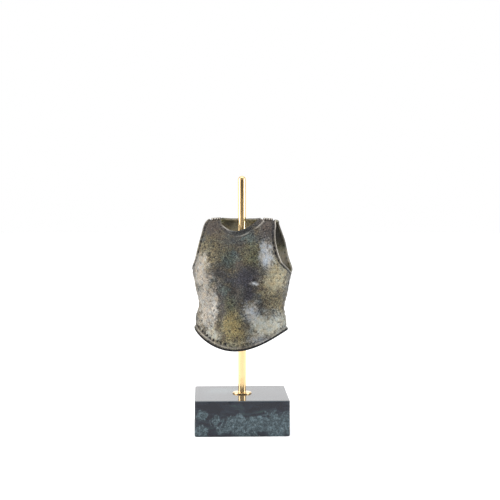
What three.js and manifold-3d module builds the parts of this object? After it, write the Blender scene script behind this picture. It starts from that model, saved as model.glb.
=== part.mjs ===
// A miniature bronze muscle cuirass on its display stand: a marble block, a brass rod with a
// flange at its foot, a hidden hanger on the rod, and the breastplate and backplate that hang on it.
// Millimetres, +Z up. The origin is the centre of the block's underside, and the viewer stands at -Y.
import * as THREE from "three";
import { mergeVertices } from "three/addons/utils/BufferGeometryUtils.js";
import Module from "manifold-3d";

// The running gap between pieces that touch on the real object.
const CLEARANCE = 0.3;

const BASE = { width: 70, depth: 70, height: 26.4, bevel: 0.7, socketDepth: 18 };

// The rod stands a little beside the middle of the block, and its free top has a domed tip.
const ROD = { radius: 3, top: 191, offset: 0.8, sides: 24, domeRows: 5 };

const FLANGE = { radius: 7.2, height: 1, bevel: 0.25, sides: 40 };

const HANGER = { height: 140, barWidth: 5, barThickness: 1.6, hubRadius: 5.6, hubHeight: 6 };

// The cuirass is turned about the rod, and its heights are measured from the block's underside.
// seamReach is how far from the side seam the forms of one plate run out into the other's.
const CUIRASS = {
  turn: THREE.MathUtils.degToRad(-17),
  shoulderTop: 159.1,
  shoulderDrop: 1.5,
  hemSide: 76.4,
  halfWidth: 37.9,
  wall: 1.2,
  relief: 1.5,
  seamReach: 5,
};

const BREAST = { facing: -1, depth: 23.5, hemMiddle: 61.3, neckMiddle: 149.5 };
const BACK = { facing: 1, depth: 24, hemMiddle: 69, neckMiddle: 157.8 };

// offset is how far the neckline's middle lies from the middle of the chest.
const NECK = { offset: -1.1, halfWidth: 14.6, roundness: 0.6, lipHeight: 0.8, lipReach: 1.5 };
const ARMHOLE = { roundness: 0.5, lipHeight: 0.8, lipReach: 1.6 };
const HEM = { sweep: 1.92, lipHeight: 1, lipReach: 2.4 };

const HINGE = {
  knuckles: 4,
  length: 7.4,
  radius: 1.5,
  groove: 0.4,
  fullness: 0.7,
  middle: 20.2,
  proud: 0.35,
  sides: 14,
  stepsEach: 4,
};

// Level sections of the torso from below the hem to the shoulder ridge. up is a share of the height
// from the breastplate's hem to the shoulders, wide of halfWidth, breast and back of each plate's
// depth. square is the section's superellipse exponent. The open columns, to the power of ARMHOLE's
// roundness, say where the armhole's edge lies on each plate, as a share of the section's own depth,
// and narrow is how much narrower the backplate is than the breastplate.
const SECTION_COLUMNS = ["up", "wide", "square", "breast", "breastOpen", "back", "backOpen", "narrow"];
const SECTIONS = [
  [-0.06, 0.95, 2.05, 1.03, 0, 0.93, 0, 0],
  [0.048, 0.942, 2.05, 1.01, 0, 0.92, 0, 0],
  [0.149, 0.928, 2.08, 0.98, 0, 0.91, 0, 0],
  [0.24, 0.905, 2.12, 0.95, 0, 0.9, 0, 0],
  [0.331, 0.875, 2.2, 0.9, 0, 0.88, 0, 0],
  [0.422, 0.922, 2.3, 0.9, 0, 0.9, 0, 0],
  [0.514, 0.962, 2.35, 0.94, 0, 0.95, 0, 0],
  [0.592, 1, 2.4, 0.99, 0, 1, 0, 0],
  [0.68, 0.945, 2.5, 0.99, 0.25, 1.01, 0.23, 0],
  [0.76, 0.9, 2.8, 0.92, 0.384, 0.98, 0.314, 0.012],
  [0.835, 0.85, 3.4, 0.78, 0.49, 0.9, 0.314, 0.03],
  [0.902, 0.802, 4.2, 0.585, 0.548, 0.8, 0.27, 0.06],
  [0.95, 0.784, 4.8, 0.4, 0.578, 0.68, 0.212, 0.085],
  [0.982, 0.775, 5, 0.215, 0.64, 0.5, 0.25, 0.085],
  [1, 0.77, 5, 0, 0.706, 0, 0.706, 0],
];

// Raised and sunk forms of the chest and the back, each the same on the left and the right. across
// and spread are shares of halfWidth, up and tall of the cuirass's height, and raise of relief.
const FORM_COLUMNS = ["across", "up", "spread", "tall", "raise"];
const BREAST_FORMS = {
  pectoral: [0.4, 0.7, 0.32, 0.1, 1.25],
  pectoralFoot: [0.36, 0.63, 0.27, 0.05, 0.55],
  breastbone: [0, 0.69, 0.09, 0.12, -0.3],
  underPectoral: [0.34, 0.55, 0.3, 0.038, -0.75],
  pitOfStomach: [0, 0.525, 0.16, 0.07, -0.7],
  ribs: [0.7, 0.49, 0.2, 0.08, 0.7],
  upperBelly: [0.16, 0.45, 0.13, 0.06, 0.4],
  middleBelly: [0.16, 0.34, 0.14, 0.05, 0.4],
  lowerBelly: [0, 0.19, 0.34, 0.12, 0.9],
  bellyLine: [0, 0.37, 0.08, 0.16, -0.2],
  navel: [0, 0.275, 0.05, 0.02, -0.4],
  flankLine: [0.38, 0.31, 0.075, 0.16, -0.5],
  hipBulge: [0.78, 0.23, 0.26, 0.08, 1.35],
};
const BACK_FORMS = {
  shoulderBlade: [0.36, 0.77, 0.28, 0.11, 0.85],
  backbone: [0, 0.49, 0.08, 0.38, -0.6],
  hipHollow: [0.95, 0.18, 0.3, 0.12, -1.2],
  flank: [0.62, 0.57, 0.24, 0.14, 0.6],
  loin: [0.18, 0.29, 0.13, 0.14, 0.5],
  seat: [0.32, 0.13, 0.28, 0.08, 0.5],
};

// Columns run from side to side and rows from the hem to the top. ends is how strongly they draw
// together at the plate's edges, from 0, even, to 1.
const GRID = { columns: 30, rows: 34, ends: 0.6 };

const marble = new THREE.MeshStandardMaterial({ color: 0x1f2d2b, roughness: 0.25, metalness: 0 });
const brass = new THREE.MeshStandardMaterial({ color: 0xd9b25f, roughness: 0.18, metalness: 1 });
const bronze = new THREE.MeshStandardMaterial({ color: 0x565245, roughness: 0.5, metalness: 0.8 });

const wasm = await Module();
wasm.setup();

// The closed solid of a geometry, for joining and cutting.
function solidOf(geometry, matrix = new THREE.Matrix4()) {
  const plain = geometry.clone().applyMatrix4(matrix);
  plain.deleteAttribute("normal");
  plain.deleteAttribute("uv");
  const merged = mergeVertices(plain, 1e-4);
  return new wasm.Manifold(
    new wasm.Mesh({
      numProp: 3,
      vertProperties: merged.getAttribute("position").array,
      triVerts: new Uint32Array(merged.getIndex().array),
    }),
  );
}

function geometryOf(solid) {
  const { vertProperties, triVerts } = solid.getMesh();
  const geometry = new THREE.BufferGeometry();
  geometry.setAttribute("position", new THREE.BufferAttribute(vertProperties, 3));
  geometry.setIndex(new THREE.BufferAttribute(triVerts, 1));
  geometry.computeVertexNormals();
  return geometry;
}

function named(name, geometry, material) {
  const mesh = new THREE.Mesh(geometry, material);
  mesh.name = name;
  return mesh;
}

function rows(columns, table) {
  return table.map((line) => Object.fromEntries(columns.map((column, i) => [column, line[i]])));
}

// A cylinder along Z whose foot is at the given height.
function upright(radius, foot, height, sides) {
  const geometry = new THREE.CylinderGeometry(radius, radius, height, sides);
  return geometry.rotateX(Math.PI / 2).translate(0, 0, foot + height / 2);
}

// A lathe profile of (radius, height) pairs turned about Z.
function turned(profile, sides) {
  const points = profile.map(([radius, height]) => new THREE.Vector2(radius, height));
  return new THREE.LatheGeometry(points, sides).rotateX(Math.PI / 2);
}

function marbleBase() {
  const { width, depth, height, bevel, socketDepth } = BASE;
  const outline = new THREE.Shape();
  const halfWidth = width / 2 - bevel;
  const halfDepth = depth / 2 - bevel;
  outline.moveTo(-halfWidth, -halfDepth);
  outline.lineTo(halfWidth, -halfDepth);
  outline.lineTo(halfWidth, halfDepth);
  outline.lineTo(-halfWidth, halfDepth);
  outline.closePath();
  const block = new THREE.ExtrudeGeometry(outline, {
    depth: height - 2 * bevel,
    bevelThickness: bevel,
    bevelSize: bevel,
    bevelSegments: 2,
  });
  block.translate(0, 0, bevel);
  const socket = upright(ROD.radius + CLEARANCE, height - socketDepth, socketDepth + 1, ROD.sides);
  socket.translate(ROD.offset, 0, 0);
  return geometryOf(solidOf(block).subtract(solidOf(socket)));
}

function rodFlange() {
  const bore = ROD.radius + CLEARANCE;
  const { radius, height, bevel, sides } = FLANGE;
  return turned(
    [
      [bore, 0],
      [radius, 0],
      [radius, height - bevel],
      [radius - bevel, height],
      [bore, height],
      [bore, 0],
    ],
    sides,
  ).translate(0, 0, BASE.height);
}

function standRod() {
  const foot = BASE.height - BASE.socketDepth + CLEARANCE;
  const dome = [];
  for (let i = 0; i <= ROD.domeRows; i += 1) {
    const angle = (i / ROD.domeRows) * (Math.PI / 2);
    const radius = i === ROD.domeRows ? 0 : ROD.radius * Math.cos(angle);
    dome.push([radius, ROD.top - ROD.radius + ROD.radius * Math.sin(angle)]);
  }
  return turned([[0, foot], [ROD.radius, foot], ...dome], ROD.sides);
}

const heightOf = (up) => BREAST.hemMiddle + up * (CUIRASS.shoulderTop - BREAST.hemMiddle);
const sections = rows(SECTION_COLUMNS, SECTIONS);
const ridgeStation = sections.length - 1;
// The armpits lie at the section below the first one that an armhole cuts.
const armpit = sections[sections.findIndex((section) => section.breastOpen > 0) - 1];

// Every column of the section table at a station between two rows, on a Catmull-Rom curve.
function sectionAt(station) {
  const low = Math.min(Math.max(Math.floor(station), 0), ridgeStation - 1);
  const share = station - low;
  const near = [-1, 0, 1, 2].map((step) => sections[Math.min(Math.max(low + step, 0), ridgeStation)]);
  const blended = {};
  for (const column of SECTION_COLUMNS) {
    const [before, from, to, after] = near.map((row) => row[column]);
    const bend = 2 * before - 5 * from + 4 * to - after;
    const twist = 3 * (from - to) + after - before;
    blended[column] = from + 0.5 * share * (to - before + share * (bend + share * twist));
  }
  return blended;
}

// The station at which the torso has a given height, by halving.
function stationAt(height) {
  let low = 0;
  let high = ridgeStation;
  for (let i = 0; i < 30; i += 1) {
    const middle = (low + high) / 2;
    if (heightOf(sectionAt(middle).up) < height) low = middle;
    else high = middle;
  }
  return (low + high) / 2;
}

// One plate's own section at a station: its half width, depth and exponent, and the side edge of
// the plate as a place across and a depth.
function plateSection(plate, station) {
  const section = sectionAt(station);
  const [share, cut, narrow] =
    plate === BREAST
      ? [section.breast, section.breastOpen, 0]
      : [section.back, section.backOpen, Math.max(0, section.narrow)];
  const open = Math.min(Math.max(cut, 0), 1) ** ARMHOLE.roundness;
  const across = (1 - open ** section.square) ** (1 / section.square);
  const halfWidth = CUIRASS.halfWidth * section.wide * (1 - narrow);
  const depth = plate.depth * Math.max(share, 0);
  return { ...section, halfWidth, depth, across, edgeX: halfWidth * across, edgeY: depth * open };
}

// A plate's plain surface: side runs from -1 to 1 between the plate's two side edges.
function plainPoint(plate, side, station) {
  const section = plateSection(plate, station);
  const share = Math.sin(side * Math.asin(section.across));
  const round = Math.max(0, 1 - Math.abs(share) ** section.square) ** (1 / section.square);
  const above = Math.max(0, section.up - armpit.up);
  const slope = above / (1 - armpit.up);
  const z = heightOf(section.up) - CUIRASS.shoulderDrop * slope * share ** 2;
  return new THREE.Vector3(section.halfWidth * share, plate.facing * section.depth * round, z);
}

function plainNormal(plate, side, station) {
  const step = 1e-3;
  const across = plainPoint(plate, Math.min(side + step, 1), station)
    .sub(plainPoint(plate, Math.max(side - step, -1), station));
  const upward = plainPoint(plate, side, Math.min(station + step, ridgeStation))
    .sub(plainPoint(plate, side, station - step));
  return across.cross(upward).multiplyScalar(-plate.facing).normalize();
}

function hemHeight(plate, side) {
  const share = Math.abs(Math.sin((side * Math.PI) / 2));
  return plate.hemMiddle + (CUIRASS.hemSide - plate.hemMiddle) * share ** HEM.sweep;
}

// The neckline dips between the two shoulders, as half an oval seen from above.
function topStation(plate, side) {
  const across = Math.abs(plainPoint(plate, side, ridgeStation).x - NECK.offset) / NECK.halfWidth;
  if (across >= 1) return ridgeStation;
  const dip = (1 - across ** 2) ** NECK.roundness;
  return ridgeStation + (stationAt(plate.neckMiddle) - ridgeStation) * dip;
}

const bump = (distance, reach) => Math.exp(-((distance / reach) ** 2));

// How far the neckline stands from the rod at the plate's middle.
const neckDepth = (plate) => Math.abs(plainPoint(plate, 0, stationAt(plate.neckMiddle)).y);

// How far the forms and the turned-out lips raise the plain surface at a point.
function raiseAt(plate, side, station, point) {
  const section = plateSection(plate, station);
  const height = CUIRASS.shoulderTop - BREAST.hemMiddle;
  const formsRaise = (forms) => rows(FORM_COLUMNS, Object.values(forms)).reduce((sum, form) => {
    const across = (Math.abs(point.x) / CUIRASS.halfWidth - form.across) / form.spread;
    const up = ((point.z - BREAST.hemMiddle) / height - form.up) / form.tall;
    return sum + form.raise * Math.exp(-(across ** 2) - up ** 2);
  }, 0);
  const rearward = THREE.MathUtils.smoothstep(point.y, -CUIRASS.seamReach, CUIRASS.seamReach);
  const forms = THREE.MathUtils.lerp(formsRaise(BREAST_FORMS), formsRaise(BACK_FORMS), rearward);
  let raise = CUIRASS.relief * forms;
  const neck = Math.hypot((point.x - NECK.offset) / NECK.halfWidth, point.y / neckDepth(plate)) - 1;
  const belowArmpit = Math.max(0, heightOf(armpit.up) - point.z);
  const fromEdge = [section.edgeX - Math.abs(point.x), Math.abs(point.y) - section.edgeY];
  raise += NECK.lipHeight * bump(neck * NECK.halfWidth, NECK.lipReach);
  raise += ARMHOLE.lipHeight * bump(Math.hypot(...fromEdge, belowArmpit), ARMHOLE.lipReach);
  raise += HEM.lipHeight * bump(point.z - hemHeight(plate, side), HEM.lipReach);
  return raise;
}

// An even count from -1 to 1 that draws together at both ends.
const drawn = (share) => share + GRID.ends * (Math.sin((share * Math.PI) / 2) - share);

// The plate's outer points, column by column, each column from the hem to the top.
function outerPoints(plate) {
  const columns = [];
  for (let i = 0; i <= GRID.columns; i += 1) {
    const side = drawn((2 * i) / GRID.columns - 1);
    const foot = stationAt(hemHeight(plate, side));
    const head = topStation(plate, side);
    const column = [];
    for (let j = 0; j <= GRID.rows; j += 1) {
      const share = (drawn((2 * j) / GRID.rows - 1) + 1) / 2;
      const station = foot + (ridgeStation - foot) * share - (ridgeStation - head) * share ** 3;
      const point = plainPoint(plate, side, station);
      const raise = raiseAt(plate, side, station, point);
      column.push(point.addScaledVector(plainNormal(plate, side, station), raise));
    }
    columns.push(column);
  }
  return columns;
}

// The inner points lie one wall behind the outer ones, along the surface's own normal.
function innerPoints(plate, outer) {
  const at = (i, j) => outer[Math.min(Math.max(i, 0), GRID.columns)][Math.min(Math.max(j, 0), GRID.rows)];
  return outer.map((column, i) =>
    column.map((point, j) => {
      const across = at(i + 1, j).clone().sub(at(i - 1, j));
      const upward = at(i, j + 1).clone().sub(at(i, j - 1));
      const normal = across.cross(upward).multiplyScalar(-plate.facing).normalize();
      return point.clone().addScaledVector(normal, -CUIRASS.wall);
    }),
  );
}

// One closed shell from the two layers of points and the four rims between them. The plate keeps
// to its own side of the seam between the two plates.
function plateShell(plate) {
  const outer = outerPoints(plate);
  const inner = innerPoints(plate, outer);
  const positions = [];
  for (const layer of [outer, inner]) {
    for (const point of layer.flat()) {
      const depth = Math.max(plate.facing * point.y, 0) + CLEARANCE / 2;
      positions.push(point.x, plate.facing * depth, point.z);
    }
  }
  const { columns, rows: rowCount } = GRID;
  const index = (layer, i, j) => (layer * (columns + 1) + i) * (rowCount + 1) + j;
  const faces = [];
  const quad = (a, b, c, d) => {
    if (plate.facing < 0) faces.push(a, b, c, a, c, d);
    else faces.push(a, c, b, a, d, c);
  };
  for (let i = 0; i < columns; i += 1) {
    for (let j = 0; j < rowCount; j += 1) {
      quad(index(0, i, j), index(0, i + 1, j), index(0, i + 1, j + 1), index(0, i, j + 1));
      quad(index(1, i, j), index(1, i, j + 1), index(1, i + 1, j + 1), index(1, i + 1, j));
    }
    quad(index(0, i, 0), index(1, i, 0), index(1, i + 1, 0), index(0, i + 1, 0));
    quad(index(0, i, rowCount), index(0, i + 1, rowCount), index(1, i + 1, rowCount), index(1, i, rowCount));
  }
  for (let j = 0; j < rowCount; j += 1) {
    quad(index(0, 0, j), index(0, 0, j + 1), index(1, 0, j + 1), index(1, 0, j));
    quad(index(0, columns, j), index(1, columns, j), index(1, columns, j + 1), index(0, columns, j + 1));
  }
  const geometry = new THREE.BufferGeometry();
  geometry.setAttribute("position", new THREE.Float32BufferAttribute(positions, 3));
  geometry.setIndex(faces);
  return { geometry, inner };
}

// The place of a shoulder hinge on the seam over the shoulder; hand is -1 or 1.
function hingePlace(hand) {
  const ridge = (x) => {
    const share = x / (CUIRASS.halfWidth * sections[ridgeStation].wide);
    return CUIRASS.shoulderTop - CUIRASS.shoulderDrop * share ** 2;
  };
  const half = HINGE.length / 2;
  const tilt = Math.atan2(ridge(HINGE.middle + half) - ridge(HINGE.middle - half), HINGE.length);
  const place = new THREE.Matrix4().makeRotationY(-hand * tilt);
  place.setPosition(hand * HINGE.middle, 0, ridge(HINGE.middle) - CUIRASS.wall / 2 + HINGE.proud);
  return place;
}

// A row of rounded knuckles about the hinge's axis, which runs along X.
function hingeBarrel() {
  const { knuckles, length, radius, groove, fullness, sides, stepsEach } = HINGE;
  const profile = [[0, -length / 2]];
  for (let i = 0; i <= knuckles * stepsEach; i += 1) {
    const share = i / stepsEach;
    const swell = Math.abs(Math.sin(Math.PI * share)) ** fullness;
    profile.push([radius - groove + groove * swell, (length * share) / knuckles - length / 2]);
  }
  profile.push([0, length / 2]);
  return turned(profile, sides).rotateY(Math.PI / 2);
}

function hingeNotch() {
  const width = HINGE.length + 2 * CLEARANCE;
  const depth = 2 * (HINGE.radius + CLEARANCE);
  return new THREE.BoxGeometry(width, depth, 4 * HINGE.radius + 2 * CUIRASS.wall);
}

function plateGeometry(plate, shell) {
  let solid = solidOf(shell.geometry);
  for (const hand of [-1, 1]) solid = solid.subtract(solidOf(hingeNotch(), hingePlace(hand)));
  return geometryOf(solid);
}

// How far a plate's inner face stands from the rod at a height, along one column of its points.
function innerDepth(column, height) {
  const above = Math.max(1, column.findIndex((point) => point.z > height));
  const [low, high] = [column[above - 1], column[above]];
  const share = (height - low.z) / (high.z - low.z);
  return Math.abs(low.y + (high.y - low.y) * share);
}

// How far the hanger's bar may reach towards a plate: the nearest inner face by its top and foot.
function reachTo(shell) {
  const near = shell.inner.filter((column) => Math.abs(column[0].x) < 2 * HANGER.barWidth);
  const heights = [-1, 1].map((step) => HANGER.height + (step * HANGER.barThickness) / 2);
  return Math.min(...near.flatMap((column) => heights.map((height) => innerDepth(column, height))));
}

// A flat bar from the breastplate to the backplate, with a hub that the rod passes through.
function hangerGeometry(breastShell, backShell) {
  const front = reachTo(breastShell) - CLEARANCE;
  const rear = reachTo(backShell) - CLEARANCE;
  const bar = new THREE.BoxGeometry(HANGER.barWidth, front + rear, HANGER.barThickness);
  bar.translate(0, (rear - front) / 2, HANGER.height);
  const { height, hubRadius, hubHeight } = HANGER;
  const hub = upright(hubRadius, height - hubHeight / 2, hubHeight, ROD.sides);
  const bore = upright(ROD.radius + CLEARANCE, height - hubHeight, 2 * hubHeight, ROD.sides);
  return geometryOf(solidOf(bar).add(solidOf(hub)).subtract(solidOf(bore)));
}

function makeStand() {
  const stand = new THREE.Group();
  const rod = named("stand_rod", standRod(), brass);
  const flange = named("rod_flange", rodFlange(), brass);
  rod.position.x = ROD.offset;
  flange.position.x = ROD.offset;
  stand.add(named("marble_base", marbleBase(), marble), flange, rod);
  return stand;
}

function makeCuirass() {
  const cuirass = new THREE.Group();
  const breastShell = plateShell(BREAST);
  const backShell = plateShell(BACK);
  cuirass.add(named("breastplate", plateGeometry(BREAST, breastShell), bronze));
  cuirass.add(named("backplate", plateGeometry(BACK, backShell), bronze));
  cuirass.add(named("hanger", hangerGeometry(breastShell, backShell), brass));
  for (const [name, hand] of [["shoulder_hinge_right", -1], ["shoulder_hinge_left", 1]]) {
    const hinge = named(name, hingeBarrel(), bronze);
    hinge.applyMatrix4(hingePlace(hand));
    cuirass.add(hinge);
  }
  cuirass.position.x = ROD.offset;
  cuirass.rotation.z = CUIRASS.turn;
  return cuirass;
}

const model = new THREE.Group();
model.add(makeStand(), makeCuirass());

export default model;
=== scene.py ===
"""A miniature bronze muscle cuirass on a brass rod and a dark marble block, in a plain pale studio.

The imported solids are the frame: x runs to the viewer's right, y away from the viewer and z up.
Sizes in the classes below are millimetres, and MM brings them to Blender's metres.
"""
import logging
import math
from dataclasses import dataclass, field
from enum import Enum
from typing import Any

import bpy
import numpy as np
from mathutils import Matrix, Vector


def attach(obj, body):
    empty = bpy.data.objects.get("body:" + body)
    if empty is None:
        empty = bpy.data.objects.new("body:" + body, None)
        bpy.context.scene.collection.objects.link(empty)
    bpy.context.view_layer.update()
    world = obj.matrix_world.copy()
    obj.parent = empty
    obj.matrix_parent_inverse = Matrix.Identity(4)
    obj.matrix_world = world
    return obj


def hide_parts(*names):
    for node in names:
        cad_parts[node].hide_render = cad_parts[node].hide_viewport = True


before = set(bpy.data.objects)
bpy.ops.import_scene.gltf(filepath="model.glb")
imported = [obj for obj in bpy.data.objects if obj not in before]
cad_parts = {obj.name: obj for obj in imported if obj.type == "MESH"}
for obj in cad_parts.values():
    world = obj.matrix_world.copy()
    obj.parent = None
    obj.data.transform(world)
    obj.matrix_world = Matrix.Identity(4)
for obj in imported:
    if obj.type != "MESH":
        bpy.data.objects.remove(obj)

LOG = logging.getLogger("cuirass")
MM = 0.001
BODY = "root"
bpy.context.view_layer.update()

Array = np.ndarray
Colour = tuple[float, float, float]
Place = tuple[float, float, float]


def smoothstep(value: Array, low: float, high: float) -> Array:
    """Eased step.

    Args:
        value: numbers to step.
        low: where the step starts, giving 0.
        high: where it ends, giving 1.

    Returns:
        The cubic 3t^2 - 2t^3 of the clamped share of the way from low to high.
    """
    share = np.clip((value - low) / (high - low), 0, 1)
    return share * share * (3 - 2 * share)


def bump(distance: Array, reach: float | Array) -> Array:
    """Bell-shaped falloff exp(-(distance / reach)^2)."""
    return np.exp(-((distance / reach) ** 2))


class LatticeNoise:
    """Smooth repeatable noise from a cube of random numbers."""

    size = 32
    octave_shift = 7.3

    def __init__(self, seed: int) -> None:
        """Fills the cube with seeded numbers from -1 to 1."""
        self.cube = np.random.default_rng(seed).uniform(-1, 1, (self.size,) * 3)

    def at(self, points: Array, grain: float, octaves: int = 1) -> Array:
        """Noise at points.

        Args:
            points: places, with x, y, z last.
            grain: size of the coarsest lumps, in the points' units.
            octaves: how many halvings of the grain are added, each half as strong.

        Returns:
            The trilinear blend of the cube's eight nearest numbers on an eased share, summed
            over the octaves.
        """
        total = np.zeros(points.shape[:-1])
        for octave in range(octaves):
            place = points * (2**octave / grain) + self.octave_shift * octave
            low = np.floor(place).astype(int)
            share = place - low
            share = share * share * (3 - 2 * share)
            for corner in np.ndindex(2, 2, 2):
                index = (low + corner) % self.size
                weight = np.prod(np.where(np.array(corner) == 1, share, 1 - share), axis=-1)
                total += weight * self.cube[index[..., 0], index[..., 1], index[..., 2]] / 2**octave
        return total


class Side(Enum):
    """Which of the two plates, and which way along y it faces."""

    BREAST = -1
    BACK = 1


class Hand(Enum):
    """The wearer's right or left, and which way along x it lies."""

    RIGHT = -1
    LEFT = 1


@dataclass
class Skin:
    """A grid of places on a plate's plain surface.

    Attributes:
        side: the plate.
        across: from -1 to 1 between the plate's two side edges.
        station: section numbers.
        points: the places there, in millimetres.
        away: how far each lies from the plate's edges, in millimetres, by the edge's name.
    """

    side: Side
    across: Array
    station: Array
    points: Array
    away: dict[str, Array]


class Tint(Enum):
    """Linear colours of the patina, and of the painted highlights and shade laid over it."""

    UMBER = (0.042, 0.035, 0.026)
    OLIVE = (0.120, 0.098, 0.047)
    MOSS = (0.112, 0.118, 0.064)
    FERN = (0.225, 0.185, 0.078)
    BROWN = (0.062, 0.043, 0.032)
    TEAL = (0.066, 0.100, 0.092)
    SLATE = (0.052, 0.056, 0.054)
    NIGHT = (0.025, 0.023, 0.036)
    TAN = (0.320, 0.300, 0.210)
    BEIGE = (0.310, 0.285, 0.250)
    STRAW = (0.390, 0.352, 0.240)
    ASH = (0.440, 0.445, 0.395)
    STEEL = (0.390, 0.405, 0.430)
    PALE = (0.480, 0.450, 0.415)
    LINING = (0.260, 0.245, 0.125)
    # Near-black for painted shade, and for the dark patina in hollows.
    SOOT = (0.016, 0.016, 0.019)

    def over(self, under: Array, share: Array) -> Array:
        """Colours with this tint laid over them, by share."""
        return under + (np.array(self.value) - under) * share[..., None]


@dataclass(frozen=True)
class StainOrPaintedLight:
    """One broad patch over the patina; the patches are patina staining, painted highlights and painted
    shadows.

    Attributes:
        middle: its centre in millimetres.
        reach: its half sizes along x, y and z.
        tint: its colour.
        strength: how far it covers what lies under it.
    """

    middle: Place
    reach: Place
    tint: Tint
    strength: float


@dataclass(frozen=True)
class Patina:
    """The bronze's colours, laid down point by point: a mottled ground, patches of patina staining,
    painted highlights and painted shadows, and painted shade at the edges.
    """

    seed: int = 41
    broad_grain: float = 15.0
    spot_grain: float = 6.0
    ragged_grain: float = 4.5
    crumb_grain: float = 1.2
    lining_grain: float = 7.0
    stains_and_painted_light: tuple[StainOrPaintedLight, ...] = (
        StainOrPaintedLight((-21.6, -20, 135), (12, 20, 13), Tint.OLIVE, 0.8),
        StainOrPaintedLight((-9, -22, 144), (13, 20, 9), Tint.SLATE, 0.75),
        StainOrPaintedLight((-9, -24, 130), (7, 16, 9), Tint.TEAL, 0.6),
        StainOrPaintedLight((6, -22, 145), (7, 16, 5), Tint.TEAL, 0.7),
        StainOrPaintedLight((15, -22, 146), (8, 16, 6), Tint.SLATE, 0.9),
        StainOrPaintedLight((8, -24, 133), (8, 16, 10), Tint.MOSS, 0.6),
        # Painted highlight on the right pectoral's outer flank, where the right light falls.
        StainOrPaintedLight((17.8, -24, 133), (5.6, 16, 14), Tint.STEEL, 0.9),
        StainOrPaintedLight((18.6, -8, 151), (12, 20, 12), Tint.BROWN, 0.97),
        StainOrPaintedLight((-21.6, -6, 154), (10, 20, 9), Tint.BROWN, 0.85),
        # The next five patches are painted shade: the shadow bands under both pectorals and the dark
        # hollow under the breastbone.
        StainOrPaintedLight((7.5, -24, 121.0), (13, 16, 4.5), Tint.UMBER, 0.95),
        StainOrPaintedLight((-18.5, -24, 119.5), (12, 14, 7), Tint.UMBER, 0.97),
        StainOrPaintedLight((-17, -24, 117.5), (11, 14, 5.5), Tint.SOOT, 0.5),
        StainOrPaintedLight((6, -24, 119.5), (10.5, 14, 4.5), Tint.SOOT, 0.45),
        StainOrPaintedLight((1.5, -26, 115), (14, 14, 9), Tint.NIGHT, 0.9),
        # The next five patches are painted light: a highlight on the right ribs, the left flank and armpit
        # lit from the left, and a bright band where the left of the belly turns towards that light.
        StainOrPaintedLight((24, -18, 115), (12.5, 20, 13), Tint.STRAW, 0.68),
        StainOrPaintedLight((-30.5, -12, 117), (8.5, 26, 10), Tint.BEIGE, 0.8),
        StainOrPaintedLight((-31, -12, 127), (6.5, 24, 8), Tint.BEIGE, 0.68),
        StainOrPaintedLight((-27, -14, 96), (10, 28, 24), Tint.BEIGE, 0.8),
        StainOrPaintedLight((-20.5, -22, 95), (3.5, 16, 16), Tint.PALE, 0.35),
        StainOrPaintedLight((-13.4, -24, 105), (6, 14, 5), Tint.TEAL, 0.7),
        StainOrPaintedLight((-9, -24, 96), (6.5, 14, 8), Tint.MOSS, 0.7),
        # The next two patches are painted shade on the middle of the belly, which faces the dark front of
        # the room.
        StainOrPaintedLight((-0.7, -26, 101), (7, 12, 10), Tint.UMBER, 0.75),
        StainOrPaintedLight((5.2, -26, 105), (4.5, 12, 9), Tint.NIGHT, 0.85),
        # The next two patches are painted light: a highlight on the right of the belly and the lower right
        # flank lit from the right.
        StainOrPaintedLight((7.5, -24, 89), (7.5, 12, 8.5), Tint.STEEL, 0.75),
        StainOrPaintedLight((20, -18, 80), (18, 22, 13), Tint.ASH, 0.72),
        StainOrPaintedLight((-8, -24, 79), (12, 14, 12), Tint.FERN, 0.9),
        StainOrPaintedLight((2.5, -26, 80), (4.5, 10, 4.5), Tint.UMBER, 0.6),
        StainOrPaintedLight((-24, -20, 73), (9, 12, 6), Tint.ASH, 0.55),
        StainOrPaintedLight((-6.7, -22, 66), (10, 12, 3.5), Tint.TAN, 0.5),
        StainOrPaintedLight((15, -20, 69), (12, 16, 5), Tint.STEEL, 0.6),
        StainOrPaintedLight((27, -14, 99), (9, 22, 9), Tint.OLIVE, 0.7),
        # Painted highlight on a small fold under the right ribs.
        StainOrPaintedLight((9.3, -26, 111.6), (4.0, 8, 1.6), Tint.STEEL, 0.8),
        StainOrPaintedLight((18, 22, 132), (15, 18, 14), Tint.TEAL, 0.6),
        StainOrPaintedLight((-16, 24, 138), (15, 18, 10), Tint.OLIVE, 0.75),
        StainOrPaintedLight((4, 26, 112), (9, 16, 22), Tint.NIGHT, 0.65),
        StainOrPaintedLight((-24, 18, 104), (14, 20, 18), Tint.BEIGE, 0.5),
        StainOrPaintedLight((24, 18, 96), (12, 20, 16), Tint.TAN, 0.6),
        StainOrPaintedLight((-6, 24, 84), (14, 16, 9), Tint.MOSS, 0.7),
    )
    inner_stains_and_painted_light: tuple[StainOrPaintedLight, ...] = (
        # Painted light on the inside of the back plate below the neckline.
        StainOrPaintedLight((2, 16, 152), (22, 16, 9), Tint.STRAW, 0.9),
        StainOrPaintedLight((-9, 14, 154), (5, 12, 4), Tint.UMBER, 0.6),
        StainOrPaintedLight((11, 16, 150), (4, 12, 5), Tint.MOSS, 0.7),
        # Painted shade at the top inside of the viewer's right armhole, and painted light on its lower
        # inside.
        StainOrPaintedLight((30, 10, 147), (9, 20, 14), Tint.SOOT, 0.97),
        StainOrPaintedLight((33, 6, 128), (7, 18, 9), Tint.PALE, 0.75),
    )

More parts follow.
